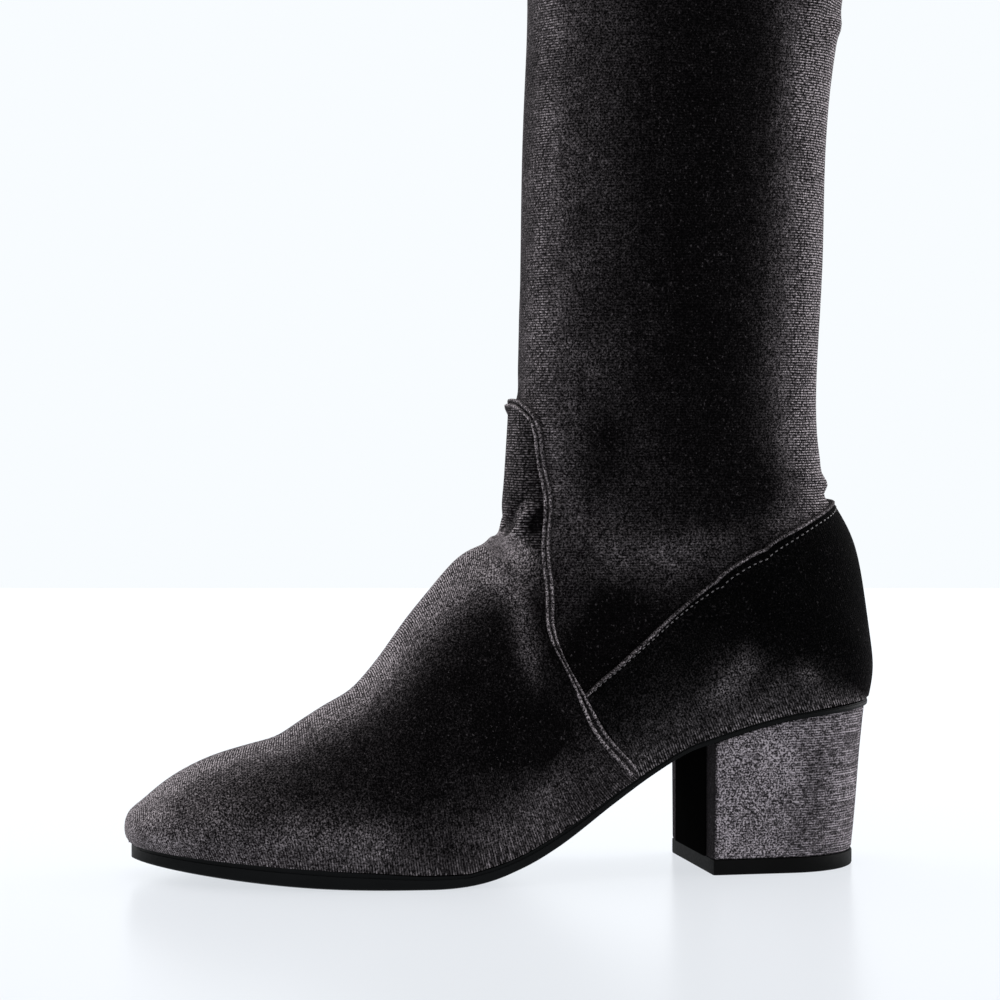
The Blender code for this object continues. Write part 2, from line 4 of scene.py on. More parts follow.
import bpy
import mathutils
import numpy as np
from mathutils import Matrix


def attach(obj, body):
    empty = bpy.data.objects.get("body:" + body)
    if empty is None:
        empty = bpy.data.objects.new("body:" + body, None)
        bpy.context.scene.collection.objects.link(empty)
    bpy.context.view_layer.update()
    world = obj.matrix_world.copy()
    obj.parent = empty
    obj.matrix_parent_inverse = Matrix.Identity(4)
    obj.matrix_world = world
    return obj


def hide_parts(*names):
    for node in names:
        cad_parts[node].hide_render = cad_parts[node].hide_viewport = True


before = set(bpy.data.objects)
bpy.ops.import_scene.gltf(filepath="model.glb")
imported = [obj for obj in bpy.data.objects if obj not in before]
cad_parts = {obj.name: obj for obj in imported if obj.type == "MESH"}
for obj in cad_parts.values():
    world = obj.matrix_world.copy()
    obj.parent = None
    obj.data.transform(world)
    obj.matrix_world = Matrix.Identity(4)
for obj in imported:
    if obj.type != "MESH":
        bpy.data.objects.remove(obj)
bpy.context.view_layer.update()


# The shaft: one sock of stretch velvet, from the sole's edge over the foot and up the leg to the thigh.
# It is cut and sewn on the same last as the solids, so its sizes and sections are the maker's own.

# Driving sizes in metres
LENGTH = 0.2538
BALL_WIDTH = 0.0825
TOE_SPRING = 0.0070
SEAT_HEIGHT = 0.0545
INSTEP_RISE = 0.0780
ANKLE_RISE = 0.1430
SHAFT_RISE = 0.4800
LEG_WIDTH = 0.1120
WALL = 0.0016

# Outsole
SOLE_THICKNESS = 0.0060
FEATHER_INSET = 0.0015
FEATHER_GAP = 0.0005

# Shares of the length, from the toe's tip
SOLE_START = 0.008
SOLE_END = 0.985
FLAT_START = 0.335
FLAT_END = 0.418
HEEL_FRONT = 0.749

# Plan of the sole: share of the sole's length, then centre and half width as shares of the ball width
PLAN_ROWS = (
    (0.00, -0.100, 0.420),
    (0.10, -0.080, 0.435),
    (0.20, -0.050, 0.465),
    (0.29, -0.024, 0.488),
    (0.35, -0.008, 0.492),
    (0.43, 0.014, 0.472),
    (0.51, 0.032, 0.425),
    (0.61, 0.038, 0.362),
    (0.69, 0.022, 0.340),
    (0.77, 0.006, 0.348),
    (0.86, 0.000, 0.362),
    (1.00, 0.000, 0.366),
)
TOE_ROUND = 0.255
HEEL_ROUND = 0.118

# Underside behind the ball: share of the length, share of the seat height
WAIST_ROWS = (
    (FLAT_END, 0.000),
    (0.469, 0.066),
    (0.533, 0.215),
    (0.614, 0.470),
    (0.668, 0.633),
    (0.718, 0.760),
    (HEEL_FRONT, 0.807),
    (0.808, 0.888),
    (0.863, 0.943),
    (1.000, 1.004),
)
TOE_SPRING_POWER = 2.1

# Outsole: share of the length, share of the sole thickness
THICKNESS_ROWS = (
    (0.00, 0.77),
    (0.10, 0.95),
    (0.20, 1.03),
    (0.29, 0.93),
    (0.37, 0.74),
    (0.45, 0.78),
    (0.52, 0.72),
    (0.60, 0.50),
    (0.67, 0.36),
    (0.72, 0.30),
    (1.00, 0.30),
)

# Upper over the foot. Each section runs from the feather edge to the ridge: share of the sole's length at
# the edge, ridge's share of the length, ridge's height above the edge as a share of the instep rise, how
# far the section stands out past the edge as a share of the ball width, where it is widest, its fullness,
# and the ridge's side shift as a share of the ball width
FOOT_ROWS = (
    (0.000, 0.0138, 0.000, 0.000, 0.40, 0.92, -0.100),
    (0.008, 0.0051, 0.036, 0.011, 0.38, 0.92, -0.100),
    (0.035, 0.0083, 0.116, 0.016, 0.36, 0.92, -0.098),
    (0.075, 0.0268, 0.182, 0.019, 0.34, 0.93, -0.095),
    (0.130, 0.0626, 0.287, 0.022, 0.33, 0.95, -0.091),
    (0.190, 0.1229, 0.394, 0.024, 0.32, 0.98, -0.086),
    (0.250, 0.1935, 0.479, 0.024, 0.31, 1.00, -0.080),
    (0.310, 0.2604, 0.615, 0.022, 0.30, 1.00, -0.073),
    (0.365, 0.3180, 0.765, 0.020, 0.30, 1.00, -0.067),
    (0.420, 0.3656, 0.968, 0.021, 0.31, 1.00, -0.060),
    (0.480, 0.4042, 1.073, 0.027, 0.33, 1.00, -0.050),
    (0.545, 0.4397, 1.102, 0.037, 0.34, 1.00, -0.037),
    (0.620, 0.4708, 1.009, 0.052, 0.35, 0.97, -0.024),
    (0.700, 0.4945, 0.907, 0.060, 0.35, 0.92, -0.012),
    (0.780, 0.4988, 0.886, 0.050, 0.34, 0.84, -0.004),
    (0.860, 0.4984, 0.886, 0.040, 0.33, 0.78, 0.000),
    (0.930, 0.5004, 0.935, 0.036, 0.32, 0.75, 0.000),
    (0.980, 0.5020, 0.998, 0.034, 0.32, 0.74, 0.000),
    (1.000, 0.5035, 1.070, 0.034, 0.33, 0.74, 0.000),
)

# Upper round the heel and ankle: rear's share of the length, rear's height above the seat, ridge's share of
# the length and its height, heights as shares of the ankle rise, then half width as a share of the leg
# width, where it is widest, and its fullness
ANKLE_ROWS = (
    (0.9835, 0.065, 0.5051, 0.621, 0.296, 0.34, 0.74),
    (0.9779, 0.156, 0.5063, 0.653, 0.297, 0.35, 0.74),
    (0.9665, 0.289, 0.5083, 0.681, 0.299, 0.37, 0.75),
    (0.9500, 0.387, 0.5142, 0.712, 0.304, 0.40, 0.78),
    (0.9255, 0.464, 0.5150, 0.758, 0.311, 0.43, 0.81),
    (0.9208, 0.513, 0.5154, 0.807, 0.317, 0.45, 0.84),
    (0.9137, 0.597, 0.5158, 0.855, 0.325, 0.47, 0.88),
    (0.9125, 0.758, 0.5165, 0.918, 0.335, 0.48, 0.92),
)

# Upper's level sections: height over the ankle as a share of the shaft rise, ridge's and rear's shares of
# the length, half width as a share of the leg width
SHAFT_ROWS = (
    (0.000, 0.5177, 0.9200, 0.345),
    (0.067, 0.5197, 0.9224, 0.357),
    (0.129, 0.5240, 0.9300, 0.371),
    (0.192, 0.5276, 0.9468, 0.386),
    (0.281, 0.5230, 0.9640, 0.406),
    (0.375, 0.5170, 0.9710, 0.424),
    (0.479, 0.5162, 0.9655, 0.421),
    (0.583, 0.5181, 0.9510, 0.411),
    (0.667, 0.5102, 0.9476, 0.413),
    (0.771, 0.4925, 0.9653, 0.438),
    (0.896, 0.4708, 0.9850, 0.473),
    (1.000, 0.4570, 0.9988, 0.500),
)
SHAFT_WIDEST = 0.49
SHAFT_FULLNESS = 0.95

LEAN_STEP = 0.01
WIDEST_EDGE = 0.999

FOOT_END = len(FOOT_ROWS) - 1
LEVEL_START = len(FOOT_ROWS) + len(ANKLE_ROWS)
LAST_ROW = LEVEL_START + len(SHAFT_ROWS) - 1


def spline(places, values):
    """Natural cubic curve through the values, as a function of place."""
    x = np.array(places, float)
    y = np.array(values, float)
    steps = np.diff(x)
    slopes = np.diff(y) / steps
    count = len(x)
    system = np.eye(count)
    right = np.zeros(count)
    for i in range(1, count - 1):
        system[i, i - 1] = steps[i - 1]
        system[i, i] = 2.0 * (steps[i - 1] + steps[i])
        system[i, i + 1] = steps[i]
        right[i] = 6.0 * (slopes[i] - slopes[i - 1])
    bends = np.linalg.solve(system, right)

    def value(place):
        i = int(np.clip(np.searchsorted(x, place) - 1, 0, count - 2))
        step = steps[i]
        before = x[i + 1] - place
        after = place - x[i]
        curved = (bends[i] * before**3 + bends[i + 1] * after**3) / (6.0 * step)
        start = (y[i] / step - bends[i] * step / 6.0) * before
        end = (y[i + 1] / step - bends[i + 1] * step / 6.0) * after
        return float(curved + start + end)

    return value


def steady(places, values):
    """Smooth curve through the values that rises and falls only where they do."""
    x = np.array(places, float)
    y = np.array(values, float)
    slopes = np.diff(y) / np.diff(x)
    leans = np.zeros(len(x))
    leans[0] = slopes[0]
    leans[-1] = slopes[-1]
    for i in range(1, len(x) - 1):
        if slopes[i - 1] * slopes[i] > 0.0:
            leans[i] = 2.0 * slopes[i - 1] * slopes[i] / (slopes[i - 1] + slopes[i])

    def value(place):
        i = int(np.clip(np.searchsorted(x, place) - 1, 0, len(x) - 2))
        step = x[i + 1] - x[i]
        u = min(max((place - x[i]) / step, 0.0), 1.0)
        start = y[i] * (1.0 + 2.0 * u) * (1.0 - u) ** 2 + step * leans[i] * u * (1.0 - u) ** 2
        end = y[i + 1] * u * u * (3.0 - 2.0 * u) + step * leans[i + 1] * u * u * (u - 1.0)
        return float(start + end)

    return value


def column(rows, index):
    """One column of a table."""
    return [row[index] for row in rows]


def along(share):
    """Y of a share of the boot's length, from the toe's tip."""
    return (share - 0.5) * LENGTH


WAIST = steady(column(WAIST_ROWS, 0), column(WAIST_ROWS, 1))
THICKNESS = steady(column(THICKNESS_ROWS, 0), column(THICKNESS_ROWS, 1))
PLAN_CENTRE = spline(column(PLAN_ROWS, 0), column(PLAN_ROWS, 1))
PLAN_HALF = spline(column(PLAN_ROWS, 0), column(PLAN_ROWS, 2))


def tread_height(y):
    """Height of the outsole's underside: toe spring, a flat spot under the ball, then the arch."""
    share = y / LENGTH + 0.5
    if share <= FLAT_START:
        return TOE_SPRING * ((FLAT_START - share) / FLAT_START) ** TOE_SPRING_POWER
    if share <= FLAT_END:
        return 0.0
    return SEAT_HEIGHT * WAIST(share)


def sole_top(y):
    """Height of the outsole's upper face."""
    return tread_height(y) + SOLE_THICKNESS * THICKNESS(y / LENGTH + 0.5)


def plan_y(share, out=0.0):
    """Y of a share of the sole's length, with both ends moved out."""
    start = along(SOLE_START) - out
    end = along(SOLE_END) + out
    return start + share * (end - start)


def toe_round(share):
    """Share of the full width left by the rounded toe."""
    if share >= TOE_ROUND:
        return 1.0
    return math.sqrt(max(0.0, 1.0 - (1.0 - share / TOE_ROUND) ** 2))


def heel_round(share):
    """Share of the full width left by the rounded heel."""
    left = (1.0 - share) / HEEL_ROUND
    if left >= 1.0:
        return 1.0
    return math.sqrt(max(0.0, 1.0 - (1.0 - left) ** 2))


def plan_centre(share):
    """X of the middle of the sole."""
    return BALL_WIDTH * PLAN_CENTRE(share)


def plan_half(share, out=0.0):
    """Half width of the sole, with its edge moved out."""
    return (BALL_WIDTH * PLAN_HALF(share) + out) * toe_round(share) * heel_round(share)


SEAT_TOP = sole_top(along(SOLE_END)) + FEATHER_GAP
SEAT_HALF = BALL_WIDTH * PLAN_HALF(1.0)


def ridge_rows():
    """Y and height of the ridge at each row."""
    points = []
    for edge, ridge, rise, _, _, _, _ in FOOT_ROWS:
        base = sole_top(plan_y(edge, -FEATHER_INSET)) + FEATHER_GAP
        points.append((along(ridge), base + rise * INSTEP_RISE))
    for _, _, ridge, height, _, _, _ in ANKLE_ROWS:
        points.append((along(ridge), SEAT_TOP + height * ANKLE_RISE))
    for height, ridge, _, _ in SHAFT_ROWS:
        points.append((along(ridge), SEAT_TOP + ANKLE_RISE + height * SHAFT_RISE))
    return points


def rear_rows():
    """Y and height of the back line, from the end of the feather edge up."""
    points = [(plan_y(1.0, -FEATHER_INSET), SEAT_TOP)]
    for rear, height, _, _, _, _, _ in ANKLE_ROWS:
        points.append((along(rear), SEAT_TOP + height * ANKLE_RISE))
    for height, _, rear, _ in SHAFT_ROWS:
        points.append((along(rear), SEAT_TOP + ANKLE_RISE + height * SHAFT_RISE))
    return points


def swell_rows():
    """How far each row's widest place stands out past the sole's half width less the feather inset."""
    seat = SEAT_HALF - FEATHER_INSET
    foot = [row[3] * BALL_WIDTH for row in FOOT_ROWS]
    ankle = [row[4] * LEG_WIDTH - seat for row in ANKLE_ROWS]
    shaft = [row[3] * LEG_WIDTH - seat for row in SHAFT_ROWS]
    return foot + ankle + shaft


ROWS = list(range(LAST_ROW + 1))
REAR_ROWS = list(range(FOOT_END, LAST_ROW + 1))
RIDGE_Y = spline(ROWS, column(ridge_rows(), 0))
RIDGE_Z = spline(ROWS, column(ridge_rows(), 1))
REAR_Y = spline(REAR_ROWS, column(rear_rows(), 0))
REAR_Z = spline(REAR_ROWS, column(rear_rows(), 1))
EDGE = spline(range(FOOT_END + 1), column(FOOT_ROWS, 0))
SWELL = spline(ROWS, swell_rows())
WIDEST = spline(
    ROWS,
    column(FOOT_ROWS, 4) + column(ANKLE_ROWS, 5) + [SHAFT_WIDEST] * len(SHAFT_ROWS),
)
FULLNESS = spline(
    ROWS,
    column(FOOT_ROWS, 5) + column(ANKLE_ROWS, 6) + [SHAFT_FULLNESS] * len(SHAFT_ROWS),
)
RIDGE_X = spline(
    ROWS,
    column(FOOT_ROWS, 6) + [0.0] * (len(ANKLE_ROWS) + len(SHAFT_ROWS)),
)


def section(row, out):
    """The measures of one section of the upper, with its surface moved out."""
    edge = min(EDGE(row), 1.0) if row < FOOT_END else 1.0
    edge = max(edge, 0.0)
    inset = out - FEATHER_INSET
    if row <= FOOT_END:
        rear_y = plan_y(edge, inset)
        rear_z = sole_top(rear_y) + FEATHER_GAP
    else:
        rear_y = REAR_Y(row) + out
        rear_z = REAR_Z(row)
    half = (BALL_WIDTH * PLAN_HALF(edge) + inset) * toe_round(edge) + SWELL(row)
    foot = min(plan_half(edge, inset), WIDEST_EDGE * half)
    above = min(row + LEAN_STEP, LAST_ROW)
    below = max(row - LEAN_STEP, 0.0)
    lean_y = RIDGE_Y(above) - RIDGE_Y(below)
    lean_z = RIDGE_Z(above) - RIDGE_Z(below)
    size = math.hypot(lean_y, lean_z)
    front_y = RIDGE_Y(row) - out * lean_z / size
    front_z = RIDGE_Z(row) + out * lean_y / size
    fullness = FULLNESS(row)
    tuck = math.asin((foot / half) ** (1.0 / fullness)) if half > 0.0 else 0.0
    return {
        "rear": (plan_centre(edge), rear_y, rear_z),
        "front": (BALL_WIDTH * RIDGE_X(row), front_y, front_z),
        "half": half,
        "widest": WIDEST(row),
        "fullness": fullness,
        "end": math.pi - tuck,
    }


FORM_ROWS = np.linspace(0.0, LAST_ROW, LAST_ROW * 100 + 1)
FORM_CACHE = {}


def form_measures(out):
    """The sections' measures on close rows, kept for each distance out."""
    if out not in FORM_CACHE:
        shapes = [section(row, out) for row in FORM_ROWS]
        table = {key: np.array([shape[key] for shape in shapes]) for key in shapes[0]}
        FORM_CACHE[out] = table
    return FORM_CACHE[out]


def end_turn(rows):
    """Angle of the feather edge round from the ridge."""
    return np.interp(rows, FORM_ROWS, form_measures(0.0)["end"])


def on_skin(rows, turns, out=0.0):
    """Points of the form, for arrays of rows and angles round from the ridge."""
    table = form_measures(out)
    rows = np.clip(rows, 0.0, LAST_ROW)

    def read(key):
        values = table[key]
        if values.ndim == 1:
            return np.interp(rows, FORM_ROWS, values)
        return np.stack([np.interp(rows, FORM_ROWS, values[:, i]) for i in range(3)], axis=-1)

    angle = np.abs(turns)
    widest = read("widest")
    front_up = widest + (1.0 - widest) * np.cos(angle)
    rear_up = widest * (1.0 - np.cos(angle) / np.cos(read("end")))
    up = np.where(angle <= math.pi / 2.0, front_up, rear_up)[..., None]
    across = read("half") * np.clip(np.sin(angle), 0.0, 1.0) ** read("fullness")
    points = read("rear") + up * (read("front") - read("rear"))
    points[..., 0] += np.copysign(across, turns)
    return points


def skin_normals(rows, turns):
    """Outward directions of the form."""
    step = 0.02
    along_rows = on_skin(rows + step, turns) - on_skin(rows - step, turns)
    along_turns = on_skin(rows, turns + step) - on_skin(rows, turns - step)
    normals = np.cross(along_rows, along_turns)
    size = np.linalg.norm(normals, axis=-1, keepdims=True)
    normals = normals / np.maximum(size, 1e-12)
    normals = np.where(size > 1e-9, normals, np.array((0.0, -1.0, 0.0)))
    middle = 0.5 * (on_skin(rows, turns * 0.0) + on_skin(rows, end_turn(rows) + turns * 0.0))
    facing = np.sum(normals * (on_skin(rows, turns) - middle), axis=-1, keepdims=True)
    return np.where(facing < 0.0, -normals, normals)


# Main creases of the shaft: rise in mm, half width in mm, side (1 outer, -1 inner, 0 both), then the line as
# the form's rows and degrees round from the ridge
SHAFT_CREASES = (
    (-1.2, 4.5, 0, ((15.60, 37), (17.70, 52), (19.75, 70), (20.80, 87), (21.90, 110))),
    (1.2, 4.5, 0, ((15.15, 40), (16.90, 54), (19.35, 72), (20.40, 84), (21.20, 98))),
    (-1.8, 3.6, 0, ((17.90, 68), (19.40, 73), (20.40, 81), (21.30, 100), (22.10, 120))),
    (1.6, 2.6, 0, ((23.10, 124), (23.50, 140), (23.62, 157), (23.65, 180))),
    (-1.3, 1.8, 0, ((22.85, 128), (23.10, 140), (23.18, 153), (23.20, 180))),
    (-1.0, 2.2, 0, ((23.60, 116), (24.00, 132), (24.25, 154), (24.30, 172))),
    (1.6, 5.0, 1, ((29.75, 128), (30.05, 142), (30.20, 160), (30.25, 178))),
    (-1.2, 4.0, 1, ((30.05, 124), (30.35, 140), (30.45, 158))),
    (-1.4, 4.0, 1, ((29.50, 134), (29.80, 148), (29.95, 166))),
    (1.2, 3.5, 1, ((29.35, 138), (29.60, 152), (29.72, 170))),
)


def crease_rise(points, creases):
    """How far the creases lift or sink each point."""
    flat = points.reshape(-1, 3)
    total = np.zeros(len(flat))
    for rise, half_width, side, line in creases:
        rows = spline(range(len(line)), column(line, 0))
        turns = spline(range(len(line)), column(line, 1))
        shares = np.linspace(0.0, 1.0, 33)
        places = shares * (len(line) - 1)
        line_rows = np.array([rows(place) for place in places])
        line_turns = np.radians([turns(place) for place in places])
        fade = np.clip(np.minimum(shares, 1.0 - shares) / 0.25, 0.0, 1.0)
        if abs(line_turns[0]) < 0.05:
            fade = np.where(shares < 0.5, 1.0, fade)
        if abs(line_turns[-1]) > 3.1:
            fade = np.where(shares > 0.5, 1.0, fade)
        pulls = np.zeros(len(flat))
        for mirror in (1, -1) if side == 0 else (side,):
            knots = on_skin(line_rows, mirror * line_turns, 0.001)
            near = np.abs(flat[:, None, :] - knots[None, ::8, :]).max(axis=-1).min(axis=-1) < 0.045
            gaps = np.linalg.norm(flat[near][:, None, :] - knots[None], axis=-1)
            pull = (fade * np.exp(-((gaps / (half_width / 1000.0)) ** 2))).max(axis=-1)
            pulls[near] = np.maximum(pulls[near], pull)
        total += rise * pulls
    return total.reshape(points.shape[:-1]) / 1000.0


def draped(rows, turns, out, creases):
    """Points of the form with a cloth's creases, moved out."""
    points = on_skin(rows, turns)
    return points + skin_normals(rows, turns) * (crease_rise(points, creases) + out)[..., None]


def deselect():
    """Nothing is selected, and no object is being edited."""
    if bpy.context.object and bpy.context.object.mode != "OBJECT":
        bpy.ops.object.mode_set(mode="OBJECT")
    bpy.ops.object.select_all(action="DESELECT")


def laid(name, points, ribs=None, nap_and_painted_light=None, outward=None):
    """A grid laid on rows of points, with its ribs as UV, and as attributes its nap with painted sheen, highlights
    and shade, and how strongly its ribs show."""
    count, width = points.shape[:2]
    deselect()
    bpy.ops.mesh.primitive_grid_add(x_subdivisions=width - 1, y_subdivisions=count - 1, size=2.0)
    sheet = bpy.context.object
    sheet.name = name
    sheet.data.name = name
    mesh = sheet.data
    flat = np.empty(len(mesh.vertices) * 3)
    mesh.vertices.foreach_get("co", flat)
    flat = flat.reshape(-1, 3)
    across = np.rint((flat[:, 0] + 1.0) / 2.0 * (width - 1)).astype(int)
    up = np.rint((flat[:, 1] + 1.0) / 2.0 * (count - 1)).astype(int)
    mesh.vertices.foreach_set("co", points[up, across].ravel())
    if ribs is not None:
        corners = np.empty(len(mesh.loops), dtype=np.int32)
        mesh.loops.foreach_get("vertex_index", corners)
        mesh.uv_layers.active.data.foreach_set("uv", ribs[up, across][corners].ravel())
    for key, values in (nap_and_painted_light or {}).items():
        mesh.attributes.new(key, "FLOAT", "POINT")
        mesh.attributes[key].data.foreach_set("value", values[up, across].ravel().astype(np.float32))
    mesh.update()
    bpy.ops.object.mode_set(mode="EDIT")
    bpy.ops.mesh.select_all(action="SELECT")
    bpy.ops.mesh.remove_doubles(threshold=2e-6)
    bpy.ops.object.mode_set(mode="OBJECT")
    if outward is not None:
        centres = np.empty(len(mesh.polygons) * 3)
        normals = np.empty(len(mesh.polygons) * 3)
        mesh.polygons.foreach_get("center", centres)
        mesh.polygons.foreach_get("normal", normals)
        facing = np.sum(normals.reshape(-1, 3) * (centres.reshape(-1, 3) - outward(centres.reshape(-1, 3))))
        if facing < 0.0:
            bpy.ops.object.mode_set(mode="EDIT")
            bpy.ops.mesh.select_all(action="SELECT")
            bpy.ops.mesh.flip_normals()
            bpy.ops.object.mode_set(mode="OBJECT")
    bpy.ops.object.shade_smooth()
    return sheet


def run_along(points):
    """Distance run along a line, at each of its points."""
    return np.concatenate(((0.0,), np.cumsum(np.linalg.norm(np.diff(points, axis=0), axis=1))))


def directions(points):
    """Unit directions of a line, at each of its points."""
    tangents = np.gradient(points, axis=0)
    return tangents / np.maximum(np.linalg.norm(tangents, axis=1, keepdims=True), 1e-12)


def boot_middle(points):
    """The middle of the leg or foot beside each point, which the outside faces away from."""
    middle = points.copy()
    middle[:, 0] = 0.0
    leg = points[:, 2] > 0.12
    middle[leg, 1] = 0.060
    middle[~leg, 2] = 0.3 * points[~leg, 2] + 0.010
    return middle


def thickened(sheet, wall, lining=False):
    """Gives the sheet its real thickness, inwards."""
    made = sheet.modifiers.new("wall", "SOLIDIFY")
    made.thickness = wall
    made.offset = -1.0
    made.use_rim = True
    if lining:
        made.material_offset = 1
    bpy.context.view_layer.objects.active = sheet
    bpy.ops.object.modifier_apply(modifier=made.name)
    bpy.ops.object.shade_smooth_by_angle(angle=math.radians(50.0))


def node(tree, kind, **settings):
    """A shader node with its settings and input values."""
    made = tree.nodes.new(kind)
    for key, value in settings.items():
        if key in made.inputs:
            made.inputs[key].default_value = value
        else:
            setattr(made, key, value)
    return made


def maths(tree, operation, first, second=None, third=None):
    """A Math node on sockets or numbers."""
    made = tree.nodes.new("ShaderNodeMath")
    made.operation = operation
    for i, value in enumerate((first, second, third)):
        if value is None:
            continue
        if isinstance(value, (int, float)):
            made.inputs[i].default_value = value
        else:
            tree.links.new(value, made.inputs[i])
    return made.outputs[0]


def blended(tree, amount, first, second):
    """A Mix node between two colours, given as sockets or as values."""
    made = tree.nodes.new("ShaderNodeMix")
    made.data_type = "RGBA"
    for i, value in ((0, amount), (6, first), (7, second)):
        if hasattr(value, "links") or hasattr(value, "is_linked"):
            tree.links.new(value, made.inputs[i])
        else:
            made.inputs[i].default_value = value
    return made.outputs[2]


def noise(tree, place, scale, detail=1.0, roughness=0.5):
    """A noise texture's value at a place."""
    made = node(tree, "ShaderNodeTexNoise", Scale=scale, Detail=detail, Roughness=roughness)
    tree.links.new(place, made.inputs["Vector"])
    return made.outputs["Fac"]


def spread(tree, value, *ends):
    """A value between the first two ends, spread over the last two."""
    made = node(tree, "ShaderNodeMapRange", clamp=True)
    tree.links.new(value, made.inputs["Value"])
    for key, end in zip(("From Min", "From Max", "To Min", "To Max"), ends):
        made.inputs[key].default_value = end
    return made.outputs[0]


def raised(tree, surface, height, strength, distance):
    """Gives a surface the relief of a height."""
    made = node(tree, "ShaderNodeBump", Strength=strength, Distance=distance)
    tree.links.new(height, made.inputs["Height"])
    tree.links.new(made.outputs["Normal"], surface.inputs["Normal"])


def new_material(name, settings):
    """A new material with its node tree, and its surface with the settings."""
    made = bpy.data.materials.new(name)
    made.use_nodes = True
    surface = made.node_tree.nodes["Principled BSDF"]
    for key, value in settings.items():
        surface.inputs[key].default_value = value
    return made, made.node_tree, surface


def make_pile():
    """The velvet's pile: rows of fine knit loops, painted glints of fibre and a patchy nap, scaled by each piece's
    attribute of nap with painted sheen, highlights and shade.
    """
    tree = bpy.data.node_groups.new("velvet_pile", "ShaderNodeTree")
    for name, kind in (
        ("Ribs", "NodeSocketVector"),
        ("Place", "NodeSocketVector"),
        ("Nap_and_light", "NodeSocketFloat"),
        ("Ribbing", "NodeSocketFloat"),
        ("Rib pitch", "NodeSocketFloat"),
        ("Loop length", "NodeSocketFloat"),
        ("Sparkle", "NodeSocketFloat"),
        ("Dark", "NodeSocketColor"),
        ("Light", "NodeSocketColor"),
    ):
        tree.interface.new_socket(name, in_out="INPUT", socket_type=kind)
    tree.interface.new_socket("Colour", in_out="OUTPUT", socket_type="NodeSocketColor")
    tree.interface.new_socket("Height", in_out="OUTPUT", socket_type="NodeSocketFloat")
    given = tree.nodes.new("NodeGroupInput").outputs
    result = tree.nodes.new("NodeGroupOutput")
    link = tree.links.new

    split = node(tree, "ShaderNodeSeparateXYZ")
    link(given["Ribs"], split.inputs[0])
    waver = noise(tree, given["Place"], 110.0)
    rib_count = maths(tree, "DIVIDE", split.outputs["X"], given["Rib pitch"])
    rib_count = maths(tree, "ADD", rib_count, maths(tree, "MULTIPLY", waver, 0.45))
    wave = maths(tree, "SINE", maths(tree, "MULTIPLY", rib_count, 2.0 * math.pi))
    ribs = maths(tree, "POWER", maths(tree, "MULTIPLY_ADD", wave, 0.5, 0.5), 1.3)

    stretch = node(tree, "ShaderNodeCombineXYZ")
    link(rib_count, stretch.inputs["X"])
    link(maths(tree, "DIVIDE", split.outputs["Y"], given["Loop length"]), stretch.inputs["Y"])
    loop_light = spread(tree, noise(tree, stretch.outputs[0], 1.0), 0.41, 0.74, 0.08, 2.50)

    fibres = noise(tree, given["Place"], 1700.0, roughness=0.6)
    fibre_light = spread(tree, fibres, 0.42, 0.72, 0.03, 1.70)
    glint_light = spread(tree, noise(tree, given["Place"], 1150.0, roughness=0.4), 0.66, 0.80, 0.0, 1.0)

    patches = noise(tree, given["Place"], 60.0, 3.0, 0.6)
    small_patches = noise(tree, given["Place"], 300.0, 2.0, 0.6)
    brushed = maths(tree, "MULTIPLY_ADD", patches, 1.8, 0.10)
    brushed = maths(tree, "MULTIPLY", brushed, maths(tree, "MULTIPLY_ADD", small_patches, 1.8, 0.10))
    nap_and_light = maths(tree, "MULTIPLY", given["Nap_and_light"], maths(tree, "MAXIMUM", brushed, 0.15))

    ribbed = maths(tree, "MULTIPLY", ribs, loop_light)
    plain = maths(tree, "MULTIPLY", fibre_light, 0.75)
    gap = maths(tree, "SUBTRACT", ribbed, plain)
    cloth = maths(tree, "MULTIPLY_ADD", gap, given["Ribbing"], plain)
    cloth = maths(tree, "MULTIPLY", cloth, maths(tree, "MULTIPLY_ADD", fibre_light, 0.55, 0.65))
    shade = maths(tree, "MULTIPLY", maths(tree, "MULTIPLY", cloth, nap_and_light), 1.5)
    bright = maths(tree, "MULTIPLY", glint_light, given["Sparkle"])
    bright = maths(tree, "MULTIPLY", bright, maths(tree, "MULTIPLY_ADD", nap_and_light, 0.6, 0.10))
    tone = maths(tree, "MINIMUM", maths(tree, "ADD", shade, bright), 1.0)
    link(blended(tree, tone, given["Dark"], given["Light"]), result.inputs["Colour"])
    height = maths(tree, "MULTIPLY", ribbed, given["Ribbing"])
    height = maths(tree, "MULTIPLY_ADD", fibres, 0.7, height)
    link(height, result.inputs["Height"])
    return tree


PILE = make_pile()


def velvet(name, dark, light, pitch=0.00085, loop=0.0013, sparkle=1.0, sheen=0.05):
    """Stretch velvet, with its ribs along the piece's UV, and its nap with painted sheen, highlights and shade from
    the piece's attributes.
    """
    made, tree, surface = new_material(name, {
        "Roughness": 0.95,
        "Specular IOR Level": 0.015,
        "Sheen Weight": sheen,
        "Sheen Roughness": 0.30,
        "Sheen Tint": (0.95, 0.84, 0.87, 1.0),
    })
    pile = tree.nodes.new("ShaderNodeGroup")
    pile.node_tree = PILE
    places = tree.nodes.new("ShaderNodeTexCoord")
    tree.links.new(places.outputs["UV"], pile.inputs["Ribs"])
    tree.links.new(places.outputs["Object"], pile.inputs["Place"])
    # The attributes hold each piece's nap together with its painted sheen, highlights and shade
    for key in ("Nap_and_light", "Ribbing"):
        brushed = tree.nodes.new("ShaderNodeAttribute")
        brushed.attribute_name = key.lower()
        tree.links.new(brushed.outputs["Fac"], pile.inputs[key])
    pile.inputs["Rib pitch"].default_value = pitch
    pile.inputs["Loop length"].default_value = loop
    pile.inputs["Sparkle"].default_value = sparkle
    pile.inputs["Dark"].default_value = (*dark, 1.0)
    pile.inputs["Light"].default_value = (*light, 1.0)
    tree.links.new(pile.outputs["Colour"], surface.inputs["Base Color"])
    raised(tree, surface, pile.outputs["Height"], 0.6, 0.0005)
    return made


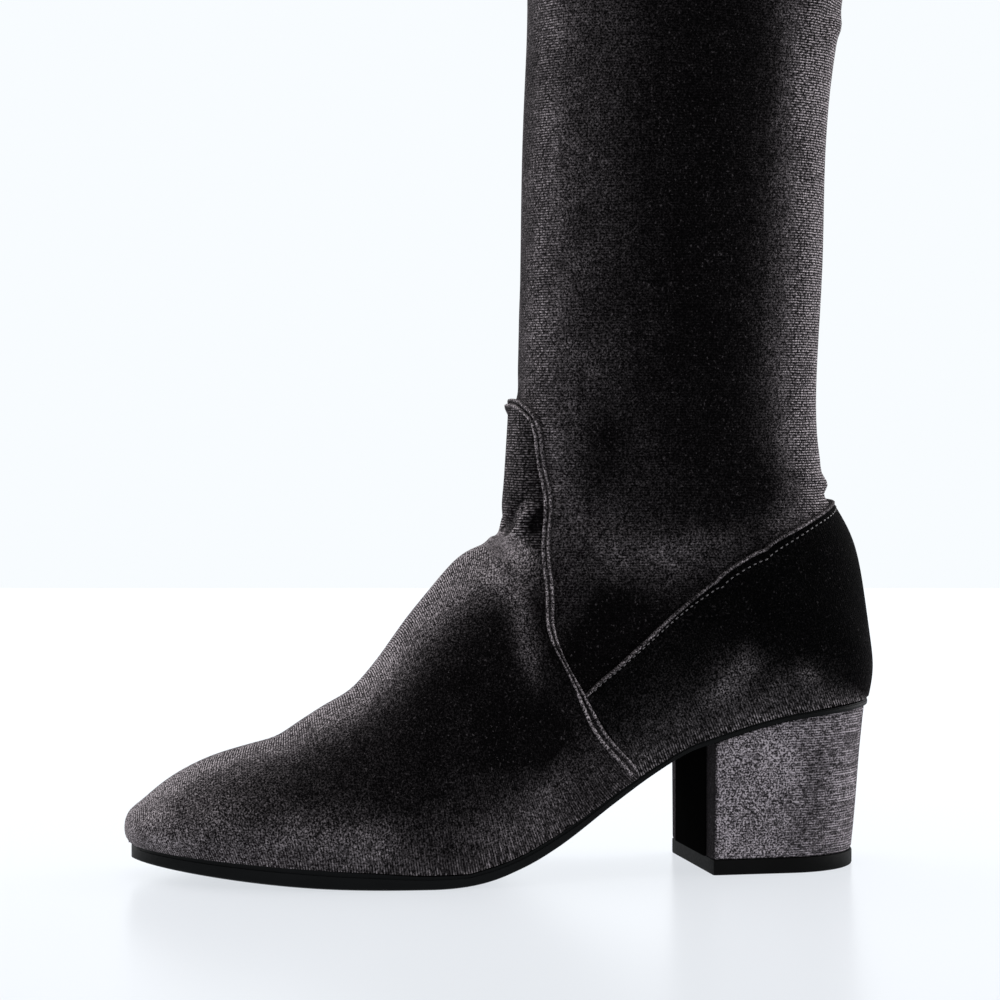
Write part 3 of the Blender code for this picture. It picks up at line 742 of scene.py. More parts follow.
def grained(name, roughness, sheen, scale, detail, dark, light, specular=0.5, relief=0.3):
    """A plain cloth or thread, whose colour and relief vary with a fine grain."""
    made, tree, surface = new_material(
        name, {"Roughness": roughness, "Sheen Weight": sheen, "Specular IOR Level": specular})
    grain = noise(tree, tree.nodes.new("ShaderNodeTexCoord").outputs["Object"], scale, detail)
    tree.links.new(blended(tree, grain, (*dark, 1.0), (*light, 1.0)), surface.inputs["Base Color"])
    if relief:
        raised(tree, surface, grain, relief, 0.0003)
    return made


# The plain knit back of the cloth, which shows inside the collar
KNIT_LINING = grained("knit_lining", 0.9, 0.1, 900.0, 3.0, (0.006, 0.0055, 0.006), (0.028, 0.025, 0.026), 0.05)


def floor_bounce_light(rows, turns, reach=0.012):
    """How near each point is to the feather edge, where the cloth is painted paler as painted light thrown up from
    the floor.
    """
    half = np.interp(rows, FORM_ROWS, form_measures(0.0)["half"])
    gap = (end_turn(rows) - np.abs(turns)) * half
    return np.where(rows < 20.0, np.exp(-np.maximum(gap, 0.0) / reach), 0.0)


VELVET = velvet("velvet", (0.0012, 0.0010, 0.0012), (0.520, 0.465, 0.490))

# Painted sheen of the shaft round the leg, by degrees from its front line: lighter towards its front and back lines
SHAFT_PAINTED_SHEEN = (
    (0, 0.10), (10, 0.18), (21, 0.31), (32, 0.18), (42, 0.085), (55, 0.045), (66, 0.022), (80, 0.010), (95, 0.010),
    (105, 0.014), (114, 0.035), (124, 0.14), (133, 0.34), (145, 0.56), (160, 0.72), (180, 0.60),
)

# Painted highlights and shade along the shaft's folds: how much lighter or darker, half width in mm, side, and the
# line
SHAFT_FOLD_LIGHT = (
    (0.07, 9.0, 0, ((15.60, 50), (16.60, 61), (17.90, 70), (19.40, 79))),
    (0.07, 5.0, 0, ((17.00, 59), (18.40, 69), (19.60, 77), (20.70, 91))),
    (0.20, 6.0, 0, ((20.60, 92), (21.60, 113), (22.50, 136), (22.90, 160))),
    (0.30, 5.0, 0, ((28.40, 130), (28.90, 130), (29.30, 128))),
    (0.14, 10.0, 0, ((29.20, 134), (29.75, 126), (30.40, 118))),
    (-0.05, 9.0, 0, ((12.70, 78), (13.60, 74), (14.40, 64))),
    (-0.06, 9.0, 0, ((17.60, 38), (18.90, 43), (20.60, 46), (22.40, 48))),
)

HEM_DEPTH = 0.0220
HEM_STEP = 0.0005
HEM_ROW = LAST_ROW - HEM_DEPTH / (REAR_Z(LAST_ROW) - REAR_Z(LAST_ROW - 1))
shaft_rows = np.concatenate((
    np.array((0.0, 0.03, 0.1, 0.2, 0.35, 0.5, 0.65, 0.8)),
    np.arange(1.0, LEVEL_START, 0.2),
    np.arange(LEVEL_START, HEM_ROW - 0.06, 1.0 / 14.0),
    np.array((HEM_ROW - 0.02, HEM_ROW, HEM_ROW + 0.006, HEM_ROW + 0.06, HEM_ROW + 0.2)),
    np.linspace(HEM_ROW + 0.32, LAST_ROW - 0.012, 3),
    np.array((LAST_ROW - 0.005, LAST_ROW)),
))
shaft_out = np.interp(
    shaft_rows,
    (HEM_ROW - 0.02, HEM_ROW, HEM_ROW + 0.006, LAST_ROW - 0.012, LAST_ROW - 0.005, LAST_ROW),
    (0.0, -0.0002, HEM_STEP, HEM_STEP, 0.7 * HEM_STEP, 0.0),
)
rows_grid = np.repeat(shaft_rows[:, None], 121, axis=1)
turns_grid = np.linspace(-1.0, 1.0, 121)[None, :] * end_turn(shaft_rows)[:, None]
shaft_points = draped(rows_grid, turns_grid, shaft_out[:, None], SHAFT_CREASES)
shaft_ribs = np.stack((shaft_points[..., 2], turns_grid * 0.05), axis=-1)
# The shaft's painted light: sheen by the angle round the leg, plus painted highlights and shade along its folds; its
# ribs show more where the light is painted
shaft_painted_light = np.interp(np.degrees(np.abs(turns_grid)), column(SHAFT_PAINTED_SHEEN, 0), column(SHAFT_PAINTED_SHEEN, 1))
shaft_painted_light = np.maximum(shaft_painted_light + 1000.0 * crease_rise(shaft_points, SHAFT_FOLD_LIGHT), 0.006)
shaft_painted_attributes = {"nap_and_light": shaft_painted_light, "ribbing": np.clip(3.0 * shaft_painted_light, 0.35, 1.0)}
shaft = laid("shaft", shaft_points, shaft_ribs, shaft_painted_attributes, boot_middle)
shaft.data.materials.append(VELVET)
shaft.data.materials.append(KNIT_LINING)
thickened(shaft, WALL, lining=True)
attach(shaft, "root")
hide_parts("upper")


# The vamp: a front panel of the same velvet, from the toe up to a tongue in front of the ankle. It is laid
# over the shaft and sewn down along its rear edge.
PANEL_OUT = 0.0013
PANEL_SHEET = 0.0012


def edge_line(table, count):
    """A seam's table as close rows and angles."""
    rows = spline(range(len(table)), column(table, 0))
    turns = spline(range(len(table)), column(table, 1))
    places = np.linspace(0.0, len(table) - 1.0, count)
    line_rows = np.array([rows(place) for place in places])
    line_turns = np.radians([turns(place) for place in places])
    return line_rows, np.minimum(line_turns, end_turn(line_rows))


def evenly(points, count, *lines):
    """The lines read again at even distances along the points."""
    run = run_along(points)
    places = np.linspace(0.0, run[-1], count)
    return [np.interp(places, run, line) for line in lines]


# Rear edge of the vamp, from the sole up to the tongue's top: upper's row, degrees round from the ridge
VAMP_EDGE = (
    (12.45, 134.0),
    (12.38, 116.0),
    (12.20, 101.0),
    (12.17, 86.0),
    (12.14, 74.0),
    (12.30, 62.0),
    (12.70, 53.0),
    (13.50, 41.0),
    (14.80, 34.0),
    (16.50, 29.0),
    (18.40, 24.0),
    (20.20, 21.0),
    (20.90, 16.0),
    (21.22, 8.0),
    (21.30, 2.0),
)

# The vamp's own creases, by the same measures
VAMP_CREASES = (
    (-3.0, 2.3, 0, ((13.35, 0), (13.45, 6), (14.05, 11), (14.75, 14), (15.35, 17), (16.10, 20))),
    (1.5, 2.8, 0, ((12.40, 0), (12.65, 10), (13.15, 13), (13.85, 17), (14.70, 21), (15.30, 23), (15.75, 25))),
    (-1.0, 2.2, 0, ((13.90, 25), (14.50, 26), (15.25, 28), (15.85, 28))),
    (-0.9, 3.5, 0, ((12.30, 34), (11.80, 42), (11.55, 50), (11.25, 60))),
    (0.8, 3.5, 0, ((12.30, 42), (11.90, 48), (11.55, 58), (11.25, 71))),
    (-0.7, 3.0, 0, ((12.30, 50), (11.95, 57), (11.60, 68), (11.40, 78))),
    (-0.7, 6.0, 0, ((6.00, 2), (6.20, 22), (6.40, 44), (6.70, 64))),
    (-0.6, 6.0, 0, ((7.60, 2), (7.60, 28), (7.80, 48))),
    (0.6, 7.0, 0, ((5.60, 92), (6.40, 93), (7.20, 95))),
    (-0.6, 6.0, 0, ((8.00, 88), (9.00, 90), (10.00, 93))),
)

# Painted highlights and shade on the vamp, along its folds and in patches on its sides: how much lighter or darker,
# half width in mm, side, and the line
VAMP_FOLD_LIGHT = (
    (0.21, 7.0, 0, ((4.60, 90), (5.60, 92), (6.60, 95), (7.40, 97))),
    (0.14, 6.0, 0, ((8.50, 99), (9.60, 102), (10.60, 104), (11.40, 103))),
    (0.16, 3.5, 0, ((12.10, 36), (11.90, 44), (11.70, 54), (11.50, 66), (11.40, 76))),
    (0.20, 7.0, 0, ((11.00, 30), (12.00, 30), (12.60, 30))),
    (0.22, 4.5, 0, ((12.70, 8), (12.95, 20), (12.80, 32))),
    (0.46, 2.6, 0, ((12.45, 0), (12.70, 7), (13.15, 13), (13.85, 17), (14.70, 20), (15.30, 22), (15.75, 25))),
    (-0.30, 2.0, 0, ((14.30, 26), (14.80, 27), (15.30, 28), (15.80, 28))),
    (-0.06, 8.0, 0, ((10.60, 84), (10.70, 88), (11.40, 94))),
    (-0.08, 5.0, 0, ((8.20, 100), (9.05, 101), (9.80, 103))),
    (0.14, 8.0, 0, ((2.20, 50), (3.40, 62), (4.60, 72))),
    (-0.16, 2.2, 0, ((13.35, 0), (13.45, 6), (14.05, 11), (14.75, 14), (15.35, 17))),
)

# Rows of the ridge that the cloth's lines reach from the feather edge's last row and from each row of the
# rear edge
FAN_ROW = 8.5
RIDGE_ROWS = (11.60, 11.90, 12.05, 12.13, 12.22, 12.45, 12.95, 13.85, 15.10, 16.70, 18.50, 20.20, 20.85, 21.18, 21.30)
edge_rows, edge_turns = edge_line(VAMP_EDGE, 160)
feather_rows = np.concatenate((np.linspace(0.0, 1.0, 60) ** 2, np.linspace(1.02, edge_rows[0], 240)))
border_rows = np.concatenate((feather_rows, edge_rows[1:]))
border_turns = np.concatenate((end_turn(feather_rows), edge_turns[1:]))
feather_reach = np.interp(feather_rows, (0.0, FAN_ROW, edge_rows[0]), (0.0, FAN_ROW, RIDGE_ROWS[0]))
edge_places = np.linspace(0.0, len(VAMP_EDGE) - 1.0, 160)
edge_reach = np.interp(edge_places, range(len(VAMP_EDGE)), RIDGE_ROWS)
ridge_line = np.concatenate((feather_reach, edge_reach[1:]))
border_rows, border_turns, ridge_line = evenly(
    on_skin(border_rows, border_turns), 190, border_rows, border_turns, ridge_line)
across = np.linspace(-1.0, 1.0, 117)
lean = np.abs(across)[None, :]
hang = lean ** 3.5
vamp_rows = ridge_line[:, None] * (1.0 - hang) + border_rows[:, None] * hang
vamp_turns = border_turns[:, None] * across[None, :]
edge_limit = np.interp(np.abs(vamp_turns), edge_turns[::-1], edge_rows[::-1])
vamp_rows = np.where(vamp_rows > 11.0, np.minimum(vamp_rows, edge_limit - 0.05 * (1.0 - lean)), vamp_rows)
vamp_form = on_skin(vamp_rows, vamp_turns)
from_ridge = np.linalg.norm(vamp_form - on_skin(vamp_rows, vamp_turns * 0.0), axis=-1)
from_edge = np.clip((from_ridge[:, -1:] - from_ridge - 0.0022) / 0.0035, 0.0, 1.0)
vamp_rise = crease_rise(vamp_form, VAMP_CREASES) * from_edge + PANEL_OUT
vamp_points = vamp_form + skin_normals(vamp_rows, vamp_turns) * vamp_rise[..., None]
ridge_run = run_along(on_skin(FORM_ROWS, FORM_ROWS * 0.0))
border_run = run_along(on_skin(border_rows, border_turns))
rib_run = np.interp(ridge_line, FORM_ROWS, ridge_run)[:, None] * (1.0 - lean) + border_run[:, None] * lean
level = np.clip((vamp_rows - 12.5) / 1.1, 0.0, 1.0)
level = level * level * (3.0 - 2.0 * level)
join = np.interp(13.0, FORM_ROWS, ridge_run) - RIDGE_Z(13.0)
rib_run = (1.0 - level) * rib_run + level * (vamp_points[..., 2] + join)
vamp_ribs = np.stack((rib_run, vamp_turns * 0.04), axis=-1)
# The vamp's painted light: a painted highlight along the ridge, painted floor bounce near the feather edge, lighter
# towards the toe, and painted highlights and shade along its folds
ridge_highlight = np.exp(-((from_ridge / 0.016) ** 2)) * np.interp(vamp_rows, (12.4, 13.6), (0.90, 0.20))
floor_bounce_glow = floor_bounce_light(vamp_rows, vamp_turns, 0.006)
vamp_painted_light = 0.008 + ridge_highlight + 0.17 * floor_bounce_glow + 0.23 * np.exp(-((vamp_rows / 4.0) ** 2))
vamp_painted_light = np.maximum(vamp_painted_light + 1000.0 * crease_rise(vamp_points, VAMP_FOLD_LIGHT), 0.006)
on_tongue = np.clip((vamp_rows - 13.4) / 0.3, 0.0, 1.0)
turning = (np.clip((vamp_rows - 12.45) / 0.15, 0.0, 1.0) * (1.0 - on_tongue)
           * np.clip((np.degrees(np.abs(vamp_turns)) - 25.0) / 10.0, 0.0, 1.0))
vamp_ribbing = np.clip(0.2 + 1.1 * ridge_highlight + 0.7 * floor_bounce_glow + on_tongue, 0.0, 1.0) * (1.0 - turning)
vamp_painted_attributes = {"nap_and_light": vamp_painted_light, "ribbing": vamp_ribbing}
vamp = laid("vamp", vamp_points, vamp_ribs, vamp_painted_attributes, boot_middle)
vamp.data.materials.append(VELVET)
thickened(vamp, PANEL_SHEET)
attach(vamp, "root")
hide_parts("vamp")


# The vamp's turned edge: the cloth is folded under and sewn down in two rolls, which stand proud round the
# tongue's top and down both sides, and lie flatter and wider below the counter's corner.
SEAM_VELVET = velvet("seam_velvet", (0.003, 0.0027, 0.003), (0.560, 0.500, 0.525), loop=0.0010)
# Profile of the roll: mm across, mm out, and painted light, high on the crests and low in the groove
ROLL_PROFILE = (
    (-1.05, 0.10, 0.05), (-1.02, 0.90, 0.10), (-0.85, 1.50, 0.30), (-0.55, 1.85, 0.50), (-0.20, 1.80, 0.30),
    (0.10, 1.45, 0.08), (0.40, 1.25, 0.05), (0.65, 1.45, 0.10), (0.95, 1.90, 0.35), (1.30, 2.10, 0.55),
    (1.62, 1.95, 0.30), (1.82, 1.50, 0.12), (1.86, 0.10, 0.05), (0.40, 0.05, 0.05),
)


def closed_up(made, angle=40.0):
    """Fills the open ends and turns all faces outwards."""
    deselect()
    made.select_set(True)
    bpy.context.view_layer.objects.active = made
    bpy.ops.object.mode_set(mode="EDIT")
    bpy.ops.mesh.select_mode(type="EDGE")
    bpy.ops.mesh.select_all(action="DESELECT")
    bpy.ops.mesh.select_non_manifold()
    bpy.ops.mesh.fill_holes(sides=0)
    bpy.ops.mesh.select_all(action="SELECT")
    bpy.ops.mesh.normals_make_consistent(inside=False)
    bpy.ops.mesh.select_mode(type="VERT")
    bpy.ops.object.mode_set(mode="OBJECT")
    bpy.ops.object.shade_smooth_by_angle(angle=math.radians(angle))


def swept(name, rows, turns, profile, widen, lift, creases, slide, flip=1.0):
    """A roll of cloth along a line on the form: its profile gives mm across the line, mm out from the form and
    its painted light, with highlights on the roll's crests and shade in the groove between them."""
    points = on_skin(rows, turns, 0.0)
    normals = skin_normals(rows, turns)
    aside = np.cross(normals, directions(points)) * flip
    base = points + normals * crease_rise(points, creases)[:, None]
    ring = np.array(profile + profile[:1]) / (1000.0, 1000.0, 1.0)
    across = ring[None, :, 0] * widen[:, None] - slide[:, None]
    grid = (base[:, None, :] + aside[:, None, :] * across[..., None]
            + normals[:, None, :] * ring[None, :, 1, None] * lift[:, None, None])
    ribs = np.stack(np.broadcast_arrays(run_along(points)[:, None], ring[None, :, 0] * 2.0), axis=-1)
    nap_and_light = np.broadcast_to(ring[None, :, 2], grid.shape[:2])
    made = laid(name, grid, ribs, {"nap_and_light": nap_and_light, "ribbing": np.full(grid.shape[:2], 0.3)})
    closed_up(made, 60.0)
    return made


half_rows, half_turns = edge_line(VAMP_EDGE, 200)
seam_rows = np.concatenate((half_rows, half_rows[::-1]))
seam_turns = np.concatenate((half_turns, -half_turns[::-1]))
seam_rows, seam_turns = evenly(on_skin(seam_rows, seam_turns), 420, seam_rows, seam_turns)
place = np.abs(np.linspace(-1.0, 1.0, 420))
low_part = np.clip((np.degrees(np.abs(seam_turns)) - 84.0) / 10.0, 0.0, 1.0)
top_part = np.exp(-((np.degrees(np.abs(seam_turns)) / 14.0) ** 2))
tucked = np.clip((1.0 - place) / 0.02, 0.25, 1.0)
neck = np.exp(-(((np.degrees(np.abs(seam_turns)) - 76.0) / 9.0) ** 2))
seam_widen = (1.0 + 0.35 * low_part + 0.15 * top_part - 0.40 * neck) * tucked
seam_lift = (1.0 - 0.22 * low_part + 0.45 * top_part - 0.10 * neck) * tucked
vamp_seam = swept("vamp_seam", seam_rows, seam_turns, ROLL_PROFILE, seam_widen, seam_lift, (), 0.0005 * neck)
vamp_seam.data.materials.append(SEAM_VELVET)
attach(vamp_seam, "root")
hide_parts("vamp_seam")


# The counter: a panel of the darkest velvet round the heel, with its upper edge turned under and topstitched
# just below the fold.
COUNTER_CREASES = (
    (0.9, 5.0, 0, ((14.10, 107), (14.70, 101), (15.40, 96))),
    (-0.8, 4.0, 0, ((14.90, 112), (15.30, 106), (16.00, 100))),
    (0.9, 4.0, 0, ((16.30, 106), (16.20, 114), (16.05, 121))),
)
# Painted highlights along the counter's creases: how much lighter, half width in mm, side, and the line
COUNTER_FOLD_LIGHT = (
    (0.19, 4.5, 0, ((14.00, 108), (14.45, 106), (14.80, 103), (15.20, 100), (15.55, 96))),
    (0.14, 3.0, 0, ((16.10, 110), (16.25, 113), (16.20, 117))),
    (0.02, 7.0, 0, ((13.60, 107), (14.60, 110), (15.80, 114), (17.00, 130))),
)
COUNTER_VELVET = velvet("counter_velvet", (0.0006, 0.0006, 0.0007), (0.480, 0.435, 0.455), sparkle=0.5, sheen=0.004)
# Its upper edge as worn, by rows and degrees: nearly straight, with its ends as sewn
COUNTER_FOLD = (
    (12.22, 87.0),
    (12.64, 85.4), (12.96, 84.9), (13.32, 84.0), (13.73, 82.5), (14.18, 81.0), (14.66, 79.2), (15.19, 77.4),
    (15.69, 75.9), (15.99, 75.2), (16.32, 74.6), (16.67, 74.3), (17.08, 74.3), (17.59, 74.9), (18.09, 75.9),
    (18.41, 77.1), (18.71, 78.3), (19.01, 79.6), (19.30, 81.1), (19.57, 82.7), (19.80, 84.4), (20.00, 86.1),
    (20.17, 87.8), (20.33, 89.6), (20.61, 95.5), (20.88, 102.1), (21.17, 109.1), (21.52, 117.1), (21.96, 127.6),
    (22.50, 146.0), (22.85, 164.0), (22.95, 180.0),
)
top_rows, top_turns = edge_line(COUNTER_FOLD, 400)
top_rows, top_turns = evenly(on_skin(top_rows, top_turns), 90, top_rows, top_turns)
softening = np.exp(-(np.arange(-12, 13) / 3.0) ** 2)
top_rows, top_turns = [
    np.convolve(np.concatenate((2.0 * line[0] - line[12:0:-1], line, 2.0 * line[-1] - line[-2:-14:-1])),
                softening / softening.sum(), mode="valid")
    for line in (top_rows, top_turns)
]
low_rows = np.linspace(12.42, FOOT_END, 300)
low_rows, low_turns = evenly(on_skin(low_rows, end_turn(low_rows)), 90, low_rows, end_turn(low_rows))
rise = np.linspace(0.0, 1.0, 54)
counter_half_rows = low_rows[None, :] * (1.0 - rise[:, None]) + top_rows[None, :] * rise[:, None]
counter_half_turns = low_turns[None, :] * (1.0 - rise[:, None]) + top_turns[None, :] * rise[:, None]
counter_rows = np.concatenate((counter_half_rows, counter_half_rows[:, -2::-1]), axis=1)
counter_turns = np.concatenate((counter_half_turns, -counter_half_turns[:, -2::-1]), axis=1)
counter_out = PANEL_OUT - 0.0004 * np.clip((rise - 0.97) / 0.03, 0.0, 1.0)
counter_points = draped(counter_rows, counter_turns, counter_out[:, None], COUNTER_CREASES)
lean_run = counter_points[..., 1] * math.cos(0.42) + counter_points[..., 2] * math.sin(0.42)
counter_ribs = np.stack((lean_run, counter_points[..., 2]), axis=-1)
# The counter's painted light: painted floor bounce near the feather edge and painted highlights on its creases
counter_bounce_glow = floor_bounce_light(counter_rows, counter_turns, 0.0045)
counter_painted_light = 0.004 + 0.29 * counter_bounce_glow + 1000.0 * crease_rise(counter_points, COUNTER_FOLD_LIGHT)
counter_painted_attributes = {"nap_and_light": counter_painted_light, "ribbing": np.clip(0.2 + counter_bounce_glow, 0.0, 1.0)}
counter = laid("counter", counter_points, counter_ribs, counter_painted_attributes, boot_middle)
counter.data.materials.append(COUNTER_VELVET)
thickened(counter, PANEL_SHEET)
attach(counter, "root")
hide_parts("counter")

# Profile of the fold: mm across, mm out, and painted light, highest on its crest
FOLD_PROFILE = (
    (0.00, 0.15, 0.05), (0.02, 1.00, 0.08), (0.22, 1.62, 0.22), (0.60, 1.80, 0.36), (0.98, 1.62, 0.20),
    (1.20, 1.20, 0.06), (1.22, 0.15, 0.05),
)
fold_rows = np.concatenate((top_rows, top_rows[-2::-1]))
fold_turns = np.concatenate((top_turns, 2.0 * math.pi - top_turns[-2::-1]))
fold_lengths = on_skin(fold_rows, np.where(fold_turns > math.pi, fold_turns - 2.0 * math.pi, fold_turns))
fold_rows, fold_turns = evenly(fold_lengths, 300, fold_rows, fold_turns)
fold_turns = np.where(fold_turns > math.pi, fold_turns - 2.0 * math.pi, fold_turns)
counter_fold = swept("counter_fold", fold_rows, fold_turns, FOLD_PROFILE, np.ones(300), np.ones(300), COUNTER_CREASES,
                     np.zeros(300), flip=-1.0)
counter_fold.data.materials.append(SEAM_VELVET)
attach(counter_fold, "root")


# The thread: short stitches of dark thread, along the counter's fold and round the collar's hem.
THREAD = grained("thread", 0.5, 0.3, 2500.0, 1.0, (0.04, 0.036, 0.038), (0.17, 0.155, 0.16), relief=0.0)


def stitched(name, rows, turns, out, pitch, length, radius, creases):
    """A row of stitches along a line on the form, each one a small rounded capsule."""
    points = on_skin(rows, turns, 0.0)
    count = int(run_along(points)[-1] / pitch)
    even_rows, even_turns = evenly(points, 2 * count + 1, rows, turns)
    centres = draped(even_rows, even_turns, out, creases)
    normals = skin_normals(even_rows, even_turns)
    tangents = directions(centres)
    deselect()
    bpy.ops.mesh.primitive_uv_sphere_add(segments=6, ring_count=5, radius=1.0)
    bead = bpy.context.object
    local = np.empty(len(bead.data.vertices) * 3)
    bead.data.vertices.foreach_get("co", local)
    local = local.reshape(-1, 3)
    faces = [tuple(face.vertices) for face in bead.data.polygons]
    bpy.data.objects.remove(bead, do_unlink=True)
    places, corners = [], []
    for i in range(1, 2 * count, 2):
        side = np.cross(normals[i], tangents[i])
        stretch = np.sign(local[:, 2]) * np.abs(local[:, 2]) ** 0.6
        shape = (centres[i] + tangents[i] * stretch[:, None] * length / 2.0
                 + side * local[:, :1] * radius + normals[i] * local[:, 1:2] * radius)
        start = len(places) * len(local)
        places.append(shape)
        corners += [tuple(start + corner for corner in face) for face in faces]
    mesh = bpy.data.meshes.new(name)
    mesh.from_pydata(np.concatenate(places).tolist(), [], corners)
    mesh.update()
    made = bpy.data.objects.new(name, mesh)
    bpy.context.scene.collection.objects.link(made)
    deselect()
    made.select_set(True)
    bpy.context.view_layer.objects.active = made
    bpy.ops.object.mode_set(mode="EDIT")
    bpy.ops.mesh.select_all(action="SELECT")
    bpy.ops.mesh.normals_make_consistent(inside=False)
    bpy.ops.object.mode_set(mode="OBJECT")
    bpy.ops.object.shade_smooth()
    made.data.materials.append(THREAD)
    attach(made, "root")
    return made


stitch_share = 0.965
stitch_rows = low_rows * (1.0 - stitch_share) + top_rows * stitch_share
stitch_turns = low_turns * (1.0 - stitch_share) + top_turns * stitch_share
for side_name, side in (("outer", 1.0), ("inner", -1.0)):
    stitched(f"counter_stitches_{side_name}", stitch_rows[2:], side * stitch_turns[2:], PANEL_OUT, 0.0021, 0.0011,
             0.00024, COUNTER_CREASES)
round_turns = np.linspace(-math.pi, math.pi, 400)
for number, share_up in ((1, 0.18), (2, 0.32)):
    hem_row = HEM_ROW + share_up * (LAST_ROW - HEM_ROW)
    stitched(f"hem_stitches_{number}", round_turns * 0.0 + hem_row, round_turns, HEM_STEP, 0.0032, 0.0023, 0.00028,
             SHAFT_CREASES)


# The insole: a soft dark footbed glued inside on the outsole.
FOOTBED = grained("footbed_fabric", 0.85, 0.25, 1200.0, 3.0, (0.030, 0.028, 0.027), (0.095, 0.088, 0.082))
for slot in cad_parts["insole"].material_slots:
    slot.material = FOOTBED


# The outsole: thin moulded black rubber, full length, with a chamfered tread edge and a narrow dark recess
# under the velvet. It is cemented to the upper.
def rubber_material(name, colour, pale, roughness, grain=900.0, shine=0.10):
    """Moulded black rubber with a faint grain and scuffs."""
    made, tree, surface = new_material(name, {"Specular IOR Level": shine})
    place = tree.nodes.new("ShaderNodeTexCoord").outputs["Object"]
    fine = noise(tree, place, grain, 4.0)
    broad = noise(tree, place, 70.0, 3.0)
    tree.links.new(blended(tree, broad, (*colour, 1.0), (*pale, 1.0)), surface.inputs["Base Color"])
    rough = maths(tree, "MULTIPLY_ADD", fine, 0.25, roughness - 0.12)
    tree.links.new(rough, surface.inputs["Roughness"])
    raised(tree, surface, fine, 0.25, 0.0002)
    return made


RUBBER = rubber_material("rubber", (0.0025, 0.0027, 0.0028), (0.006, 0.0065, 0.007), 0.55, shine=0.06)
SOLE_CHAMFER = 0.0014
SOLE_STEP = 0.0006
sole_shares = np.concatenate((
    TOE_ROUND * (1.0 - np.cos(np.radians(np.linspace(1.5, 88.0, 34)))),
    np.linspace(TOE_ROUND, 1.0 - HEEL_ROUND, 90),
    1.0 - HEEL_ROUND * (1.0 - np.sin(np.radians(np.linspace(2.0, 88.5, 26)))),
))
sole_rings = []
for sole_share in sole_shares:
    y = plan_y(sole_share)
    centre = plan_centre(sole_share)
    half = plan_half(sole_share)
    near_bend = np.clip(1.0 - (abs(y - (FLAT_END - 0.5) * LENGTH) - 0.016) / 0.010, 0.0, 1.0)
    eased = np.mean([tread_height(y + shift) for shift in np.linspace(-0.011, 0.011, 11)])
    low = tread_height(y) + near_bend * (eased - tread_height(y))
    high = sole_top(y)
    thick = high - low
    chamfer = min(SOLE_CHAMFER, 0.25 * half, 0.25 * thick)
    step = min(SOLE_STEP, 0.25 * half)
    side = (
        (0.0, low), (0.5 * half, low), (half - chamfer, low), (half - 0.3 * chamfer, low + 0.3 * chamfer),
        (half, low + chamfer), (half, high - 0.36 * thick), (half - 0.15 * step, high - 0.29 * thick),
        (half - step, high - 0.25 * thick), (half - step, high - 0.02 * thick), (half - 1.4 * step, high),
        (0.5 * half, high), (0.0, high),
    )
    ring = [(centre + x, y, z) for x, z in side] + [(centre - x, y, z) for x, z in side[-2::-1]]
    sole_rings.append(ring)
sole_points = np.array(sole_rings)
outsole = laid("outsole", sole_points)
closed_up(outsole)
outsole.data.materials.append(RUBBER)
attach(outsole, "root")
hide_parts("outsole")


# The heel block: a moulded block with a straight front, covered in velvet that is pulled round the back and
# wraps a finger's width onto the front face.
GAP = 0.0003
LIFT_HEIGHT = 0.0050

# Heel block: share of the seat height, rear's share of the length, half width as a share of the ball width
HEEL_ROWS = (
    (1.00, 0.9810, 0.350),
    (0.70, 0.9745, 0.343),
    (0.36, 0.9690, 0.337),
    (0.09, 0.9635, 0.333),
)

HEEL_VELVET = velvet("heel_velvet", (0.010, 0.009, 0.010), (0.540, 0.485, 0.525), pitch=0.00082,
                     loop=0.0022, sparkle=0.5, sheen=0.06)


def arc(x, y, radius, start, end, count):
    """Points of an arc between two angles in degrees, without its ends."""
    angles = np.radians(np.linspace(start, end, count + 1)[1:-1])
    return [(x + radius * math.cos(angle), y + radius * math.sin(angle)) for angle in angles]


def heel_ring(rear, half, corner):
    """The heel's plan: a straight front with eased corners, straight sides and a round back."""
    front = along(HEEL_FRONT)
    middle = rear - half
    points = [(x, front) for x in np.linspace(-half + corner, half - corner, 9)]
    points += arc(half - corner, front + corner, corner, -90.0, 0.0, 6)
    points += [(half, y) for y in np.linspace(front + corner, middle, 8)]
    points += arc(0.0, middle, half, 0.0, 180.0, 56)
    points += [(-half, y) for y in np.linspace(middle, front + corner, 8)]
    points += arc(-half + corner, front + corner, corner, 180.0, 270.0, 6)
    return np.array(points + points[:1])


heel_rear = spline(column(HEEL_ROWS[::-1], 0), column(HEEL_ROWS[::-1], 1))
heel_half = spline(column(HEEL_ROWS[::-1], 0), column(HEEL_ROWS[::-1], 2))
heel_floor = LIFT_HEIGHT + GAP
heel_levels = np.concatenate(((0.0, 0.006, 0.02), np.linspace(0.05, 0.95, 34), (0.98, 0.994, 1.0)))
heel_rings = []
for up in heel_levels:
    height = HEEL_ROWS[-1][0] + up * (1.0 - HEEL_ROWS[-1][0])
    ease = 0.0005 * max(0.0, 1.0 - up / 0.02) + 0.0004 * max(0.0, (up - 0.98) / 0.02)
    ring = heel_ring(along(heel_rear(height)) - ease, heel_half(height) * BALL_WIDTH - ease, 0.0012)
    ring_points = []
    for x, y in ring:
        top = tread_height(y) - GAP
        ring_points.append((x, y, heel_floor + up * (top - heel_floor)))
    heel_rings.append(ring_points)
heel_points = np.array(heel_rings)
heel_ribs = np.stack((heel_points[..., 2], heel_points[..., 0] + heel_points[..., 1]), axis=-1)
